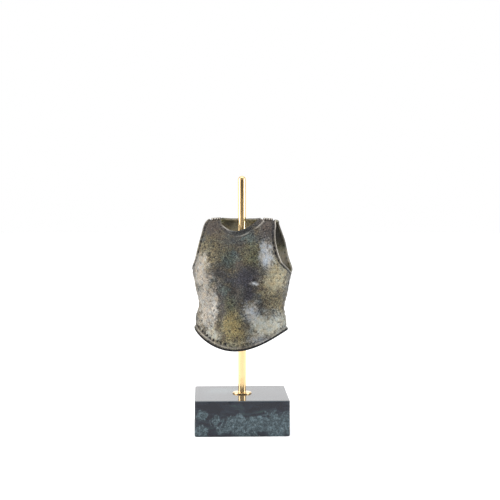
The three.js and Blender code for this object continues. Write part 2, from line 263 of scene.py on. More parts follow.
    def outer(self, points: Array) -> Array:
        """Tints of the outer face.

        Args:
            points: places in the row's frame, in millimetres.

        Returns:
            One colour a point: noise between four tints, then patches of patina staining, painted
                highlight and painted shadow over it.
        """
        broad = self._noise(0, points, self.broad_grain, 3)
        spots = self._noise(1, points, self.spot_grain, 3)
        ragged = self._noise(2, points, self.ragged_grain, 3) + self._noise(5, points, self.crumb_grain, 2)
        tint = Tint.OLIVE.over(np.array(Tint.UMBER.value), smoothstep(broad, -0.6, 0.5))
        tint = Tint.SLATE.over(tint, smoothstep(spots, -0.1, 0.9))
        tint = Tint.BROWN.over(tint, 0.6 * smoothstep(ragged - spots, 0.6, 1.4))
        return self._stained_and_painted(tint, points, self.stains_and_painted_light, ragged)

    def _noise(self, number: int, points: Array, grain: float, octaves: int) -> Array:
        """One of the patina's own noises, by number."""
        return LatticeNoise(self.seed + number).at(points, grain, octaves)

    @staticmethod
    def _stained_and_painted(tint: Array, points: Array, stains_and_painted_light: tuple[StainOrPaintedLight, ...], ragged: Array) -> Array:
        """Lays patches over tints, one after another: patina staining, painted highlights and painted
        shadows.

        Args:
            tint: the tints that lie under them.
            points: places in the row's frame, in millimetres.
            stains_and_painted_light: the patches, the lowest first.
            ragged: noise that moves a patch's edge in and out.

        Returns:
            The tints, mixed with each patch by an eased step of 1.2 - |p - middle| / reach.
        """
        for stain_or_light in stains_and_painted_light:
            away = np.linalg.norm((points - stain_or_light.middle) / stain_or_light.reach, axis=-1)
            share = smoothstep(1.2 - away - 0.24 * ragged, -0.1, 0.95)
            tint = stain_or_light.tint.over(tint, stain_or_light.strength * share)
        return tint

    def inner(self, points: Array, hem: Array) -> Array:
        """Tints of the hollow inside.

        Args:
            points: places in the row's frame, in millimetres.
            hem: their distances from the hem.

        Returns:
            Mottled yellow olive over brown, its own patches of staining and of painted light and shade,
            and painted shade just inside the hem.
        """
        spots = self._noise(3, points, self.lining_grain, 4)
        tint = Tint.LINING.over(np.array(Tint.UMBER.value), smoothstep(spots, -1.1, 0.3))
        tint = self._stained_and_painted(tint, points, self.inner_stains_and_painted_light, spots)
        # Painted shade on the inside along the hem.
        return Tint.SOOT.over(tint, 0.9 * (1 - smoothstep(hem, 0.6, 2.0)))

    def edged(self, tint: Array, skin: Skin, detail: Array) -> Array:
        """Painted shade, and wear with painted highlights, over the outer face's tints.

        Args:
            tint: the tints of the outer face.
            skin: the outer face.
            detail: how far its fine detail rises.

        Returns:
            The tints, with painted shade under the hem's roll, along a line beside it, and beside the
            armholes and the neckline; darker in all that is sunk, which is patina in the hollows together
            with painted shade; and brighter on all that is raised, which is rubbed wear together with
            painted highlight.
        """
        away = skin.away
        # Painted shade under the hem's roll, and a darker line 3.4 mm up beside it.
        under = 0.95 * (1 - smoothstep(away["hem"], 1.0, 1.9)) + 0.5 * bump(away["hem"] - 3.4, 0.5)
        # Painted shade in a band beside the armholes, stronger towards the viewer's right, and beside the
        # neckline.
        side = 0.3 + 0.25 * smoothstep(skin.points[..., 0], -8, 8)
        beside = side * bump(away["arm"] - 1.9, 1.0) + 0.45 * bump(away["collar"] - 1.6, 0.9)
        # Darker where the detail is sunk: patina in the hollows, and painted shade.
        sunk = 0.5 * smoothstep(-detail, 0.06, 0.6)
        # Brighter where the detail is raised: rubbed wear, and painted highlight.
        worn = 1 + 0.4 * smoothstep(detail, 0.1, 0.6)
        return Tint.SOOT.over(tint * worn[..., None], np.clip(under + beside + sunk, 0, 0.95))


class Sig:
    """A shader socket that adds Math nodes when it is used in an expression."""

    def __init__(self, nodes: "Nodes", socket: Any) -> None:
        """Wraps one output socket of a node tree."""
        self.nodes = nodes
        self.socket = socket

    def _math(self, operation: str, *values: Any) -> "Sig":
        """Adds one Math node for the operation."""
        return self.nodes.node("Math", {"operation": operation}, dict(enumerate(values)))

    def __add__(self, other: Any) -> "Sig":
        """self + other."""
        return self._math("ADD", self, other)

    __radd__ = __add__

    def __sub__(self, other: Any) -> "Sig":
        """self - other."""
        return self._math("SUBTRACT", self, other)

    def __rsub__(self, other: Any) -> "Sig":
        """other - self."""
        return self._math("SUBTRACT", other, self)

    def __mul__(self, other: Any) -> "Sig":
        """self * other."""
        return self._math("MULTIPLY", self, other)

    __rmul__ = __mul__

    def maximum(self, other: Any) -> "Sig":
        """The larger of self and other."""
        return self._math("MAXIMUM", self, other)

    def clamp(self) -> "Sig":
        """self held between 0 and 1."""
        return self.nodes.node("Clamp", {}, {"Value": self})

    def between(self, low: float, high: float, first: float, last: float) -> "Sig":
        """Eased step.

        Args:
            low: where it starts.
            high: where it ends.
            first: what it gives at low.
            last: what it gives at high.

        Returns:
            The step of this signal.
        """
        settings = {"interpolation_type": "SMOOTHSTEP"}
        names = ("Value", "From Min", "From Max", "To Min", "To Max")
        return self.nodes.node("MapRange", settings, dict(zip(names, (self, low, high, first, last))))

    def ramp(self, low: float, high: float) -> "Sig":
        """Eased step of self from 0 at low to 1 at high."""
        return self.between(low, high, 0.0, 1.0)


class Nodes:
    """A node tree built by calls and expressions."""

    def __init__(self, tree: bpy.types.NodeTree) -> None:
        """Empties a node tree and takes it over."""
        self.tree = tree
        self.tree.nodes.clear()

    def node(self, kind: str, settings: dict, inputs: dict, output: str | int | None = 0) -> Sig:
        """Adds any node.

        Args:
            kind: the node type, without its ShaderNode prefix.
            settings: properties set before the sockets.
            inputs: values or signals by socket name or index.
            output: name or index of the output to hand back, or None for a node that has none.

        Returns:
            The chosen output as a signal, or the node itself where there is none.
        """
        made = self.tree.nodes.new("ShaderNode" + kind)
        for name, value in settings.items():
            setattr(made, name, value)
        for key, value in inputs.items():
            self.plug(made.inputs[key], value)
        return made if output is None else Sig(self, made.outputs[output])

    def plug(self, socket: Any, value: Any) -> None:
        """Fills an input socket.

        Args:
            socket: the input.
            value: a signal to link to it, or the number, vector or colour that it gets as its own.
        """
        if isinstance(value, Sig):
            self.tree.links.new(value.socket, socket)
        elif isinstance(value, tuple) and len(value) == 3 and socket.type == "RGBA":
            socket.default_value = (*value, 1)
        else:
            socket.default_value = value

    def vector(self, operation: str, first: Any, second: Any = None, scale: float | None = None,
               output: str = "Vector") -> Sig:
        """Adds a Vector Math node.

        Args:
            operation: what it does.
            first: its first vector.
            second: its second vector, where it takes one.
            scale: its scale, where it takes one.
            output: name of the output to hand back.

        Returns:
            That output as a signal.
        """
        inputs = {0: first, 1: second, "Scale": scale}
        given = {key: value for key, value in inputs.items() if value is not None}
        return self.node("VectorMath", {"operation": operation}, given, output)

    def mix(self, share: Any, first: Any, second: Any, blend: str = "MIX") -> Sig:
        """Colour mix of first and second by share."""
        settings = {"data_type": "RGBA", "blend_type": blend}
        return self.node("Mix", settings, {0: share, 6: first, 7: second}, 2)


class Shader(Nodes):
    """One material, with a Principled shader and the piece's own coordinates in millimetres."""

    def __init__(self, name: str) -> None:
        """Makes the node material with its output and its Principled shader."""
        self.material = bpy.data.materials.new(name)
        self.material.use_nodes = True
        super().__init__(self.material.node_tree)
        self.surface = self.node("BsdfPrincipled", {}, {}, None)
        self.node("OutputMaterial", {}, {"Surface": Sig(self, self.surface.outputs[0])}, None)
        place = self.node("TexCoord", {}, {}, "Object")
        self.place = self.vector("SCALE", place, scale=1 / MM)

    def set(self, **values: Any) -> None:
        """Sets the Principled shader's sockets; an underscore stands for a space."""
        for name, value in values.items():
            self.plug(self.surface.inputs[name.replace("_", " ")], value)

    def noise(self, grain: float, detail: float = 2, rough: float = 0.5, shift: float = 0,
              place: Sig | None = None) -> Sig:
        """Noise from 0 to 1.

        Args:
            grain: size of its lumps in millimetres.
            detail: how many finer layers it holds.
            rough: strength of the finer layers.
            shift: how far the pattern is slid, in millimetres, to make it unlike its neighbours.
            place: where it is read, or None for the piece's own coordinates.

        Returns:
            The noise value as a signal.
        """
        at = self.vector("ADD", place or self.place, (shift, -shift, 2 * shift))
        inputs = {"Vector": at, "Scale": 1 / grain, "Detail": detail, "Roughness": rough}
        return self.node("TexNoise", {"noise_dimensions": "3D"}, inputs, "Fac")

    def cells(self, grain: float, feature: str = "F1", shift: float = 0, place: Sig | None = None) -> Sig:
        """Voronoi cells.

        Args:
            grain: the cells' size in millimetres.
            feature: F1 for the distance from a cell's seed, or DISTANCE_TO_EDGE.
            shift: how far the pattern is slid, in millimetres.
            place: where it is read, or None for the piece's own coordinates.

        Returns:
            The distance in cells, as a signal.
        """
        at = self.vector("ADD", place or self.place, (shift, shift, -shift))
        inputs = {"Vector": at, "Scale": 1 / grain}
        return self.node("TexVoronoi", {"feature": feature}, inputs, "Distance")

    def attribute(self, name: str) -> Sig:
        """A number stored on the mesh's points."""
        return self.node("Attribute", {"attribute_name": name}, {}, "Fac")

    def bump(self, height: Sig, depth: float, under: Sig | None = None) -> Sig:
        """Adds a Bump node.

        Args:
            height: the height.
            depth: how many millimetres a height of 1 stands for.
            under: the normal that it lies over, or None for the mesh's own.

        Returns:
            The bent normal as a signal.
        """
        inputs = {"Height": height, "Distance": depth * MM, "Strength": 1.0}
        laid_on = {} if under is None else {"Normal": under}
        return self.node("Bump", {}, inputs | laid_on, "Normal")


@dataclass(frozen=True)
class BronzePatina:
    """Antiqued cast bronze: the tints, painted light and shade among them, come with the mesh, and pits,
    specks, painted shade and wear with painted highlights are laid over them.
    """

    name: str = "bronze_patina"
    pit_and_shade_colour: Colour = (0.010, 0.010, 0.012)
    worn_and_highlight_colour: Colour = (0.46, 0.43, 0.39)
    warm: Colour = (1.09, 1.0, 0.88)
    cool: Colour = (0.93, 1.0, 1.07)
    brighter: Colour = (1.75, 1.75, 1.75)
    bloom: Colour = (0.040, 0.044, 0.048)
    hue_grain: float = 3.2
    middle_grain: float = 4.5
    fine_grain: float = 0.85
    grit_grain: float = 0.45
    pit_size: float = 0.95
    small_pit_size: float = 0.6

    def build(self) -> bpy.types.Material:
        """Builds the material.

        Returns:
            A half-metal whose tint is broken by two sizes of pits and by dark and pale specks, fewer
            where the tint is pale, with the same pits in its bump and roughness.
        """
        make = Shader(self.name)
        tint = make.node("Attribute", {"attribute_name": "tint"}, {}, "Color")
        middle = make.noise(self.middle_grain, 3, 0.6, 31)
        fine = make.noise(self.fine_grain, 2, 0.7, 57)
        grit = make.noise(self.grit_grain, 2, 0.7, 83)
        hue = make.mix(make.noise(self.hue_grain, 2, 0.55, 17).ramp(0.35, 0.65), self.warm, self.cool)
        colour = make.mix(0.8, tint, hue, "MULTIPLY")
        pits = make.cells(self.pit_size, shift=5).ramp(0.38, 0.14) * fine.ramp(0.42, 0.6)
        small_pits = make.cells(self.small_pit_size, shift=23).ramp(0.44, 0.16) * grit.ramp(0.42, 0.58)
        calm = 1.25 - make.node("RGBToBW", {}, {"Color": tint}).ramp(0.06, 0.30) * 0.85
        hollow = (make.attribute("hollow") + calm * (pits * 0.7 + small_pits * 0.6)).clamp()
        pepper = calm * (fine.ramp(0.52, 0.38) * 0.6 + grit.ramp(0.52, 0.38) * 0.45)
        inside = make.attribute("inside")
        lit = calm * (1 - inside * 0.6)
        frost = (lit * (fine.ramp(0.52, 0.64) * 0.65 + grit.ramp(0.52, 0.66) * 0.6)).clamp()
        frosted = make.mix(1.0, make.mix(1.0, colour, self.brighter, "MULTIPLY"), self.bloom, "ADD")
        colour = make.mix(frost, colour, frosted)
        # The hollow attribute darkens pits and punched dots, and carries painted shade under the hem's
        # roll and in the hinges' grooves.
        colour = make.mix((pepper + hollow * 0.9).clamp(), colour, self.pit_and_shade_colour)
        # The rim attribute lightens rubbed edges together with painted highlights on them and on the
        # knuckles' tops.
        rim = (make.attribute("rim") * (fine * 1.1 + 0.4)).clamp()
        colour = make.mix(rim, colour, self.worn_and_highlight_colour)
        metal = (1 - inside) * (rim * 0.3 + 0.5)
        shine = (0.36 + middle.ramp(0.3, 0.7) * 0.12 + grit * 0.14 + hollow * 0.45 - rim * 0.1).clamp()
        low = make.bump(middle * 0.4 - pits, 0.2)
        low = make.bump(fine * 0.9 - small_pits * 0.8, 0.12, low)
        make.set(Base_Color=colour, Metallic=metal, Roughness=shine)
        make.set(Normal=make.bump(grit, 0.05, low))
        return make.material


@dataclass(frozen=True)
class PolishedBrass:
    """Polished brass with fine lengthwise rubbing marks and a little tarnish."""

    name: str = "polished_brass"
    colour: Colour = (0.72, 0.515, 0.27)
    tarnish: Colour = (0.50, 0.34, 0.13)
    roughness: float = 0.14

    def build(self) -> bpy.types.Material:
        """Builds the material.

        Returns:
            A metal with streaks of noise stretched along z, and tarnish of broad noise and spots.
        """
        make = Shader(self.name)
        drawn_out = make.vector("MULTIPLY", make.place, (1.0, 1.0, 0.04))
        streak = make.noise(0.5, 3, 0.65, 3, drawn_out)
        cloud = make.noise(9, 4, 0.6, 19)
        spots = make.cells(2.4, shift=9).ramp(0.2, 0.05) * cloud.ramp(0.5, 0.62)
        stain_or_light = (cloud.ramp(0.5, 0.78) * 0.45 + spots * 0.5 + (streak - 0.5) * 0.25).clamp()
        make.set(Base_Color=make.mix(stain_or_light, self.colour, self.tarnish), Metallic=1.0)
        make.set(Roughness=(streak * 0.09 + stain_or_light * 0.14 + self.roughness - 0.04).clamp())
        make.set(Normal=make.bump(streak, 0.006))
        return make.material


@dataclass(frozen=True)
class DarkMarble:
    """Polished dark green marble: inky bands above, a pale crackled cloud below and a few rosettes."""

    name: str = "dark_marble"
    ground: Colour = (0.004, 0.006, 0.013)
    body: Colour = (0.012, 0.018, 0.030)
    haze: Colour = (0.026, 0.046, 0.052)
    mottle: Colour = (0.130, 0.190, 0.220)
    vein: Colour = (0.020, 0.045, 0.038)
    fleck: Colour = (0.21, 0.25, 0.27)
    bend_reach: float = 12.0
    net_bend: float = 5.0
    net_cell: float = 3.6
    fine_net_cell: float = 1.7
    lace_grain: float = 1.8
    clouds: tuple[tuple[Place, Place], ...] = (
        ((2, -35, 8), (21, 22, 9)),
        ((24, -35, 9), (15, 22, 10)),
        ((-30, -35, 4), (6, 12, 4.5)),
        ((-30, -35, 16), (4.5, 10, 4)),
        ((-19, -35, 12), (3, 8, 5)),
        ((36, 6, 14), (12, 20, 10)),
        ((-36, 12, 8), (12, 18, 9)),
        ((4, 36, 12), (26, 12, 11)),
        ((-12, 10, 27), (16, 13, 6)),
    )

    def build(self) -> bpy.types.Material:
        """Builds the material.

        Returns:
            Bands and veins of noise on bent places, and clouds filled with a crackle of cell edges.
        """
        make = Shader(self.name)
        bend = make.node("TexNoise", {}, {"Vector": make.place, "Scale": 0.08, "Detail": 3.0}, "Color")
        bend = make.vector("SUBTRACT", bend, (0.5, 0.5, 0.5))
        bent = make.vector("ADD", make.place, make.vector("SCALE", bend, scale=self.bend_reach))
        flat = make.vector("MULTIPLY", bent, (0.45, 0.45, 1.7))
        band = make.noise(7, 4, 0.6, 13, flat)
        small = make.noise(2.6, 4, 0.7, 29, bent)
        colour = make.mix(band.ramp(0.42, 0.64), self.ground, self.body)
        colour = make.mix(band.ramp(0.56, 0.70) * small.ramp(0.35, 0.6) * 0.8, colour, self.vein)
        cover = self._cover(make)
        bumpy = make.vector("ADD", make.place, make.vector("SCALE", bend, scale=self.net_bend))
        net = make.cells(self.net_cell, "DISTANCE_TO_EDGE", 7, bumpy).ramp(0.14, 0.0)
        fine_net = make.cells(self.fine_net_cell, "DISTANCE_TO_EDGE", 19, bumpy).ramp(0.16, 0.02)
        lace = make.noise(self.lace_grain, 5, 0.75, 53, bumpy).ramp(0.45, 0.68)
        colour = make.mix(cover * 0.55, colour, self.haze)
        filled = cover * (net * 0.35 + fine_net * 0.25 + lace * 0.75) * small.ramp(0.3, 0.62)
        colour = make.mix(filled.clamp(), colour, self.mottle)
        spark = cover * make.cells(1.9, shift=41).ramp(0.3, 0.08) * small.ramp(0.42, 0.6)
        colour = make.mix(spark * 0.6, colour, self.fleck)
        edge = make.attribute("rim")
        colour = make.mix(edge * 0.35, colour, self.fleck)
        make.set(Base_Color=colour, Roughness=(0.10 + small * 0.08 + edge * 0.15).clamp())
        make.set(IOR=1.4)
        make.set(Normal=make.bump(make.noise(0.9, 3, 0.6, 71), 0.003))
        return make.material

    def _cover(self, make: Shader) -> Sig:
        """The clouds' mask.

        Args:
            make: the material.

        Returns:
            1 inside any cloud, falling to 0 about its ragged ellipsoid |p - middle| / reach = 1.
        """
        ragged = make.noise(5, 4, 0.65, 47) - 0.5
        cover = None
        for middle, reach in self.clouds:
            share = make.vector("DIVIDE", make.vector("SUBTRACT", make.place, middle), reach)
            away = make.vector("LENGTH", share, output="Value") + ragged * 2.2
            mask = away.ramp(1.1, 0.65)
            cover = mask if cover is None else cover.maximum(mask)
        return cover


@dataclass(frozen=True)
class PlainPaper:
    """The seamless paper that the object stands on."""

    name: str = "studio_paper"
    colour: Colour = (0.93, 0.93, 0.925)
    glow: float = 0.2

    def build(self) -> bpy.types.Material:
        """Builds the matt paper.

        Returns:
            A pale material with a faint tooth and a faint glow.
        """
        make = Shader(self.name)
        tooth = make.noise(1.5, 2, 0.5, 5)
        make.set(Base_Color=self.colour, Roughness=0.85, Normal=make.bump(tooth, 0.01))
        make.set(Emission_Color=(1.0, 1.0, 1.0), Emission_Strength=self.glow)
        return make.material


def grid_faces(rows: int, columns: int, wrap: bool = False) -> Array:
    """Quads of a grid whose points run row by row.

    Args:
        rows: how many rows of points.
        columns: how many points in a row.
        wrap: whether each row closes on itself.

    Returns:
        An (n, 4) array of point numbers, anticlockwise where columns run right and rows up.
    """
    across = np.arange(columns if wrap else columns - 1)
    low, left = np.meshgrid(np.arange(rows - 1), across, indexing="ij")
    right = (left + 1) % columns
    lower, upper = low * columns, (low + 1) * columns
    return np.stack([lower + left, lower + right, upper + right, upper + left], -1).reshape(-1, 4)


def tube_faces(rings: int, around: int) -> list[Array]:
    """Faces of a tube that is closed by a point at each end.

    Args:
        rings: how many rings it has.
        around: how many points are in a ring.

    Returns:
        Quads between the rings, and a fan of triangles to each of the two end points, which follow
        the rings in the list of points.
    """
    count = rings * around
    first = np.arange(around)
    last = first + count - around
    return [
        grid_faces(rings, around, wrap=True),
        np.stack([np.full(around, count), np.roll(first, -1), first], -1),
        np.stack([np.full(around, count + 1), last, np.roll(last, -1)], -1),
    ]


def make_object(name: str, points: Array, faces: list[Array], material: bpy.types.Material,
                attributes: dict[str, Array] | None = None) -> bpy.types.Object:
    """Puts arrays into a smooth-shaded mesh object at the origin.

    Args:
        name: the piece's name.
        points: (n, 3) places in millimetres.
        faces: arrays of point numbers, one row a face.
        material: the piece's finish.
        attributes: a number or a colour for each point, by name.

    Returns:
        The linked object.
    """
    mesh = bpy.data.meshes.new(name)
    mesh.from_pydata((points * MM).tolist(), [], [face for patch in faces for face in patch.tolist()])
    mesh.polygons.foreach_set("use_smooth", np.ones(len(mesh.polygons), bool))
    for key, values in (attributes or {}).items():
        if values.ndim == 2:
            layer = mesh.attributes.new(key, "FLOAT_COLOR", "POINT")
            layer.data.foreach_set("color", np.insert(values, 3, 1, axis=1).astype(np.float32).ravel())
        else:
            layer = mesh.attributes.new(key, "FLOAT", "POINT")
            layer.data.foreach_set("value", np.ascontiguousarray(values, dtype=np.float32))
    mesh.materials.append(material)
    mesh.update()
    piece = bpy.data.objects.new(name, mesh)
    bpy.context.scene.collection.objects.link(piece)
    return piece


def adopt(piece: bpy.types.Object, slot: str, *nodes: str) -> None:
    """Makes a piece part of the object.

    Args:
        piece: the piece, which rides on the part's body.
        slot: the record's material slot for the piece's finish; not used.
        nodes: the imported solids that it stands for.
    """
    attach(piece, BODY)
    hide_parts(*nodes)
    LOG.info("%s: %d faces for %s", piece.name, len(piece.data.polygons), ", ".join(nodes))


@dataclass(frozen=True)
class Torso:
    """The cuirass's own form, before it is turned about the rod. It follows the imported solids' sizes."""

    turn: float = math.radians(-17)
    rod_offset: float = 0.8
    shoulder_top: float = 159.1
    shoulder_drop: float = 1.5
    hem_side: float = 76.4
    hem_middle: dict = field(default_factory=lambda: {Side.BREAST: 61.3, Side.BACK: 69.0})
    neck_middle: dict = field(default_factory=lambda: {Side.BREAST: 149.5, Side.BACK: 157.8})
    depth: dict = field(default_factory=lambda: {Side.BREAST: 23.5, Side.BACK: 24.0})
    half_width: float = 37.9
    wall: float = 1.2
    relief: float = 1.5
    seam_blend: float = 5.0
    seam_gap: float = 0.04
    neck_centre: float = -1.1
    neck_half_width: float = 14.6
    neck_roundness: float = 0.6
    hem_sweep: float = 1.92
    armpit: int = 7
    armhole_roundness: float = 0.5
    columns: tuple[str, ...] = (
        "up", "wide", "square", "breast", "breast_open", "back", "back_open", "narrow",
    )
    sections: tuple[tuple[float, ...], ...] = (
        (-0.06, 0.95, 2.05, 1.03, 0, 0.93, 0, 0),
        (0.048, 0.942, 2.05, 1.01, 0, 0.92, 0, 0),
        (0.149, 0.928, 2.08, 0.98, 0, 0.91, 0, 0),
        (0.24, 0.905, 2.12, 0.95, 0, 0.9, 0, 0),
        (0.331, 0.875, 2.2, 0.9, 0, 0.88, 0, 0),
        (0.422, 0.922, 2.3, 0.9, 0, 0.9, 0, 0),
        (0.514, 0.962, 2.35, 0.94, 0, 0.95, 0, 0),
        (0.592, 1, 2.4, 0.99, 0, 1, 0, 0),
        (0.68, 0.945, 2.5, 0.99, 0.25, 1.01, 0.23, 0),
        (0.76, 0.9, 2.8, 0.92, 0.384, 0.98, 0.314, 0.012),
        (0.835, 0.85, 3.4, 0.78, 0.49, 0.9, 0.314, 0.03),
        (0.902, 0.802, 4.2, 0.585, 0.548, 0.8, 0.27, 0.06),
        (0.95, 0.784, 4.8, 0.4, 0.578, 0.68, 0.212, 0.085),
        (0.982, 0.775, 5, 0.215, 0.64, 0.5, 0.25, 0.085),
        (1, 0.77, 5, 0, 0.706, 0, 0.706, 0),
    )

    @property
    def ridge(self) -> int:
        """The section number of the shoulder ridge."""
        return len(self.sections) - 1

    @property
    def height(self) -> float:
        """From the breastplate's hem to the shoulders."""
        return self.shoulder_top - self.hem_middle[Side.BREAST]

    def level(self, up: Array) -> Array:
        """The height above the shelf of a share of the cuirass's height."""
        return self.hem_middle[Side.BREAST] + up * self.height

    def section(self, side: Side, station: Array) -> dict[str, Array]:
        """A plate's level section.

        Args:
            side: the plate.
            station: section numbers, whole or between two.

        Returns:
            Catmull-Rom blends of the table's columns, with the half width, the depth, and the
            armhole edge's place (1 - open^n)^(1/n) of the half width across.
        """
        table = np.array(self.sections)
        low = np.clip(np.floor(station).astype(int), 0, self.ridge - 1)
        share = (station - low)[..., None]
        before, start, end, after = (table[np.clip(low + step, 0, self.ridge)] for step in (-1, 0, 1, 2))
        bend = 2 * before - 5 * start + 4 * end - after
        twist = 3 * (start - end) + after - before
        values = start + 0.5 * share * (end - before + share * (bend + share * twist))
        found = {name: values[..., i] for i, name in enumerate(self.columns)}
        key = side.name.lower()
        cut = np.clip(found[key + "_open"], 0, 1) ** self.armhole_roundness
        narrow = np.clip(found["narrow"], 0, None) if side is Side.BACK else 0
        found["half_width"] = self.half_width * found["wide"] * (1 - narrow)
        found["depth"] = self.depth[side] * np.clip(found[key], 0, None)
        found["across"] = (1 - cut ** found["square"]) ** (1 / found["square"])
        found["edge_x"] = found["half_width"] * found["across"]
        found["edge_y"] = found["depth"] * cut
        return found

    def station_at(self, height: Array) -> Array:
        """The station at which the torso has a given height, read off a fine ladder."""
        ladder = np.linspace(0, self.ridge, 1401)
        heights = self.level(self.section(Side.BREAST, ladder)["up"])
        return np.interp(height, heights, ladder)

    def plain(self, side: Side, across: Array, station: Array) -> Array:
        """A plate's plain surface.

        Args:
            side: the plate.
            across: from -1 to 1 between the plate's two side edges.
            station: section numbers.

        Returns:
            Points of the superellipse |x/a|^n + |y/b|^n = 1 of each level section.
        """
        found = self.section(side, station)
        share = np.sin(across * np.arcsin(found["across"]))
        round_off = np.clip(1 - np.abs(share) ** found["square"], 0, None) ** (1 / found["square"])
        armpit_up = self.sections[self.armpit][0]
        slope = np.clip(found["up"] - armpit_up, 0, None) / (1 - armpit_up)
        z = self.level(found["up"]) - self.shoulder_drop * slope * share**2
        return np.stack([found["half_width"] * share, side.value * found["depth"] * round_off, z], -1)

    def normal(self, side: Side, across: Array, station: Array) -> Array:
        """Unit outward normals of a plate's plain surface.

        Args:
            side: the plate.
            across: from -1 to 1 between the plate's two side edges.
            station: section numbers.

        Returns:
            The cross products of a small step across and a small step up.
        """
        step = 1e-3
        along = self.plain(side, np.minimum(across + step, 1), station)
        along = along - self.plain(side, np.maximum(across - step, -1), station)
        upward = self.plain(side, across, np.minimum(station + step, self.ridge))
        upward = upward - self.plain(side, across, station - step)
        normal = -side.value * np.cross(along, upward)
        return normal / np.linalg.norm(normal, axis=-1, keepdims=True)

    def hem(self, side: Side, across: Array) -> Array:
        """Height of the hem: a sweep sin^k from its middle up to the sides."""
        middle = self.hem_middle[side]
        return middle + (self.hem_side - middle) * np.abs(np.sin(across * np.pi / 2)) ** self.hem_sweep

    def top(self, side: Side, across: Array) -> Array:
        """Station of a plate's top edge.

        Args:
            side: the plate.
            across: from -1 to 1 between the plate's two side edges.

        Returns:
            The ridge's station, dipping into the neckline by (1 - s^2)^k, where s is the share of
            the neck's half width.
        """
        ridge = np.full(across.shape, float(self.ridge))
        share = np.abs(self.plain(side, across, ridge)[..., 0] - self.neck_centre) / self.neck_half_width
        dip = np.clip(1 - share**2, 0, None) ** self.neck_roundness
        return ridge + (self.station_at(self.neck_middle[side]) - ridge) * dip

    def neck_depth(self, side: Side) -> float:
        """How far the neckline stands from the rod at the plate's middle."""
        station = self.station_at(np.array(self.neck_middle[side]))
        return float(abs(self.plain(side, np.array(0.0), station)[1]))

    def turned(self, points: Array) -> Array:
        """Points turned about the upright axis and moved to the rod, into the row's frame."""
        cosine, sine = math.cos(self.turn), math.sin(self.turn)
        x, y, z = points[..., 0], points[..., 1], points[..., 2]
        return np.stack([x * cosine - y * sine + self.rod_offset, x * sine + y * cosine, z], -1)


@dataclass(frozen=True)
class Form:
    """A raised or sunk form, the same on the left and the right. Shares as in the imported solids."""

    across: float
    up: float
    spread: float
    tall: float
    rise: float


@dataclass(frozen=True)
class Crease:
    """A line pressed into or standing out of the surface, between two points seen from the front.

    Attributes:
        start: x and z of its first end.
        end: x and z of its other end.
        width: half its width.
        rise: its height, or its depth if negative.
    """

    start: tuple[float, float]
    end: tuple[float, float]
    width: float
    rise: float


@dataclass(frozen=True)
class EdgeLine:
    """A fine line that follows an edge.

    Attributes:
        edge: the edge, by name.
        away: how far from it the line runs.
        width: half its width.
        rise: its height, or its depth if negative.
    """

    edge: str
    away: float
    width: float
    rise: float


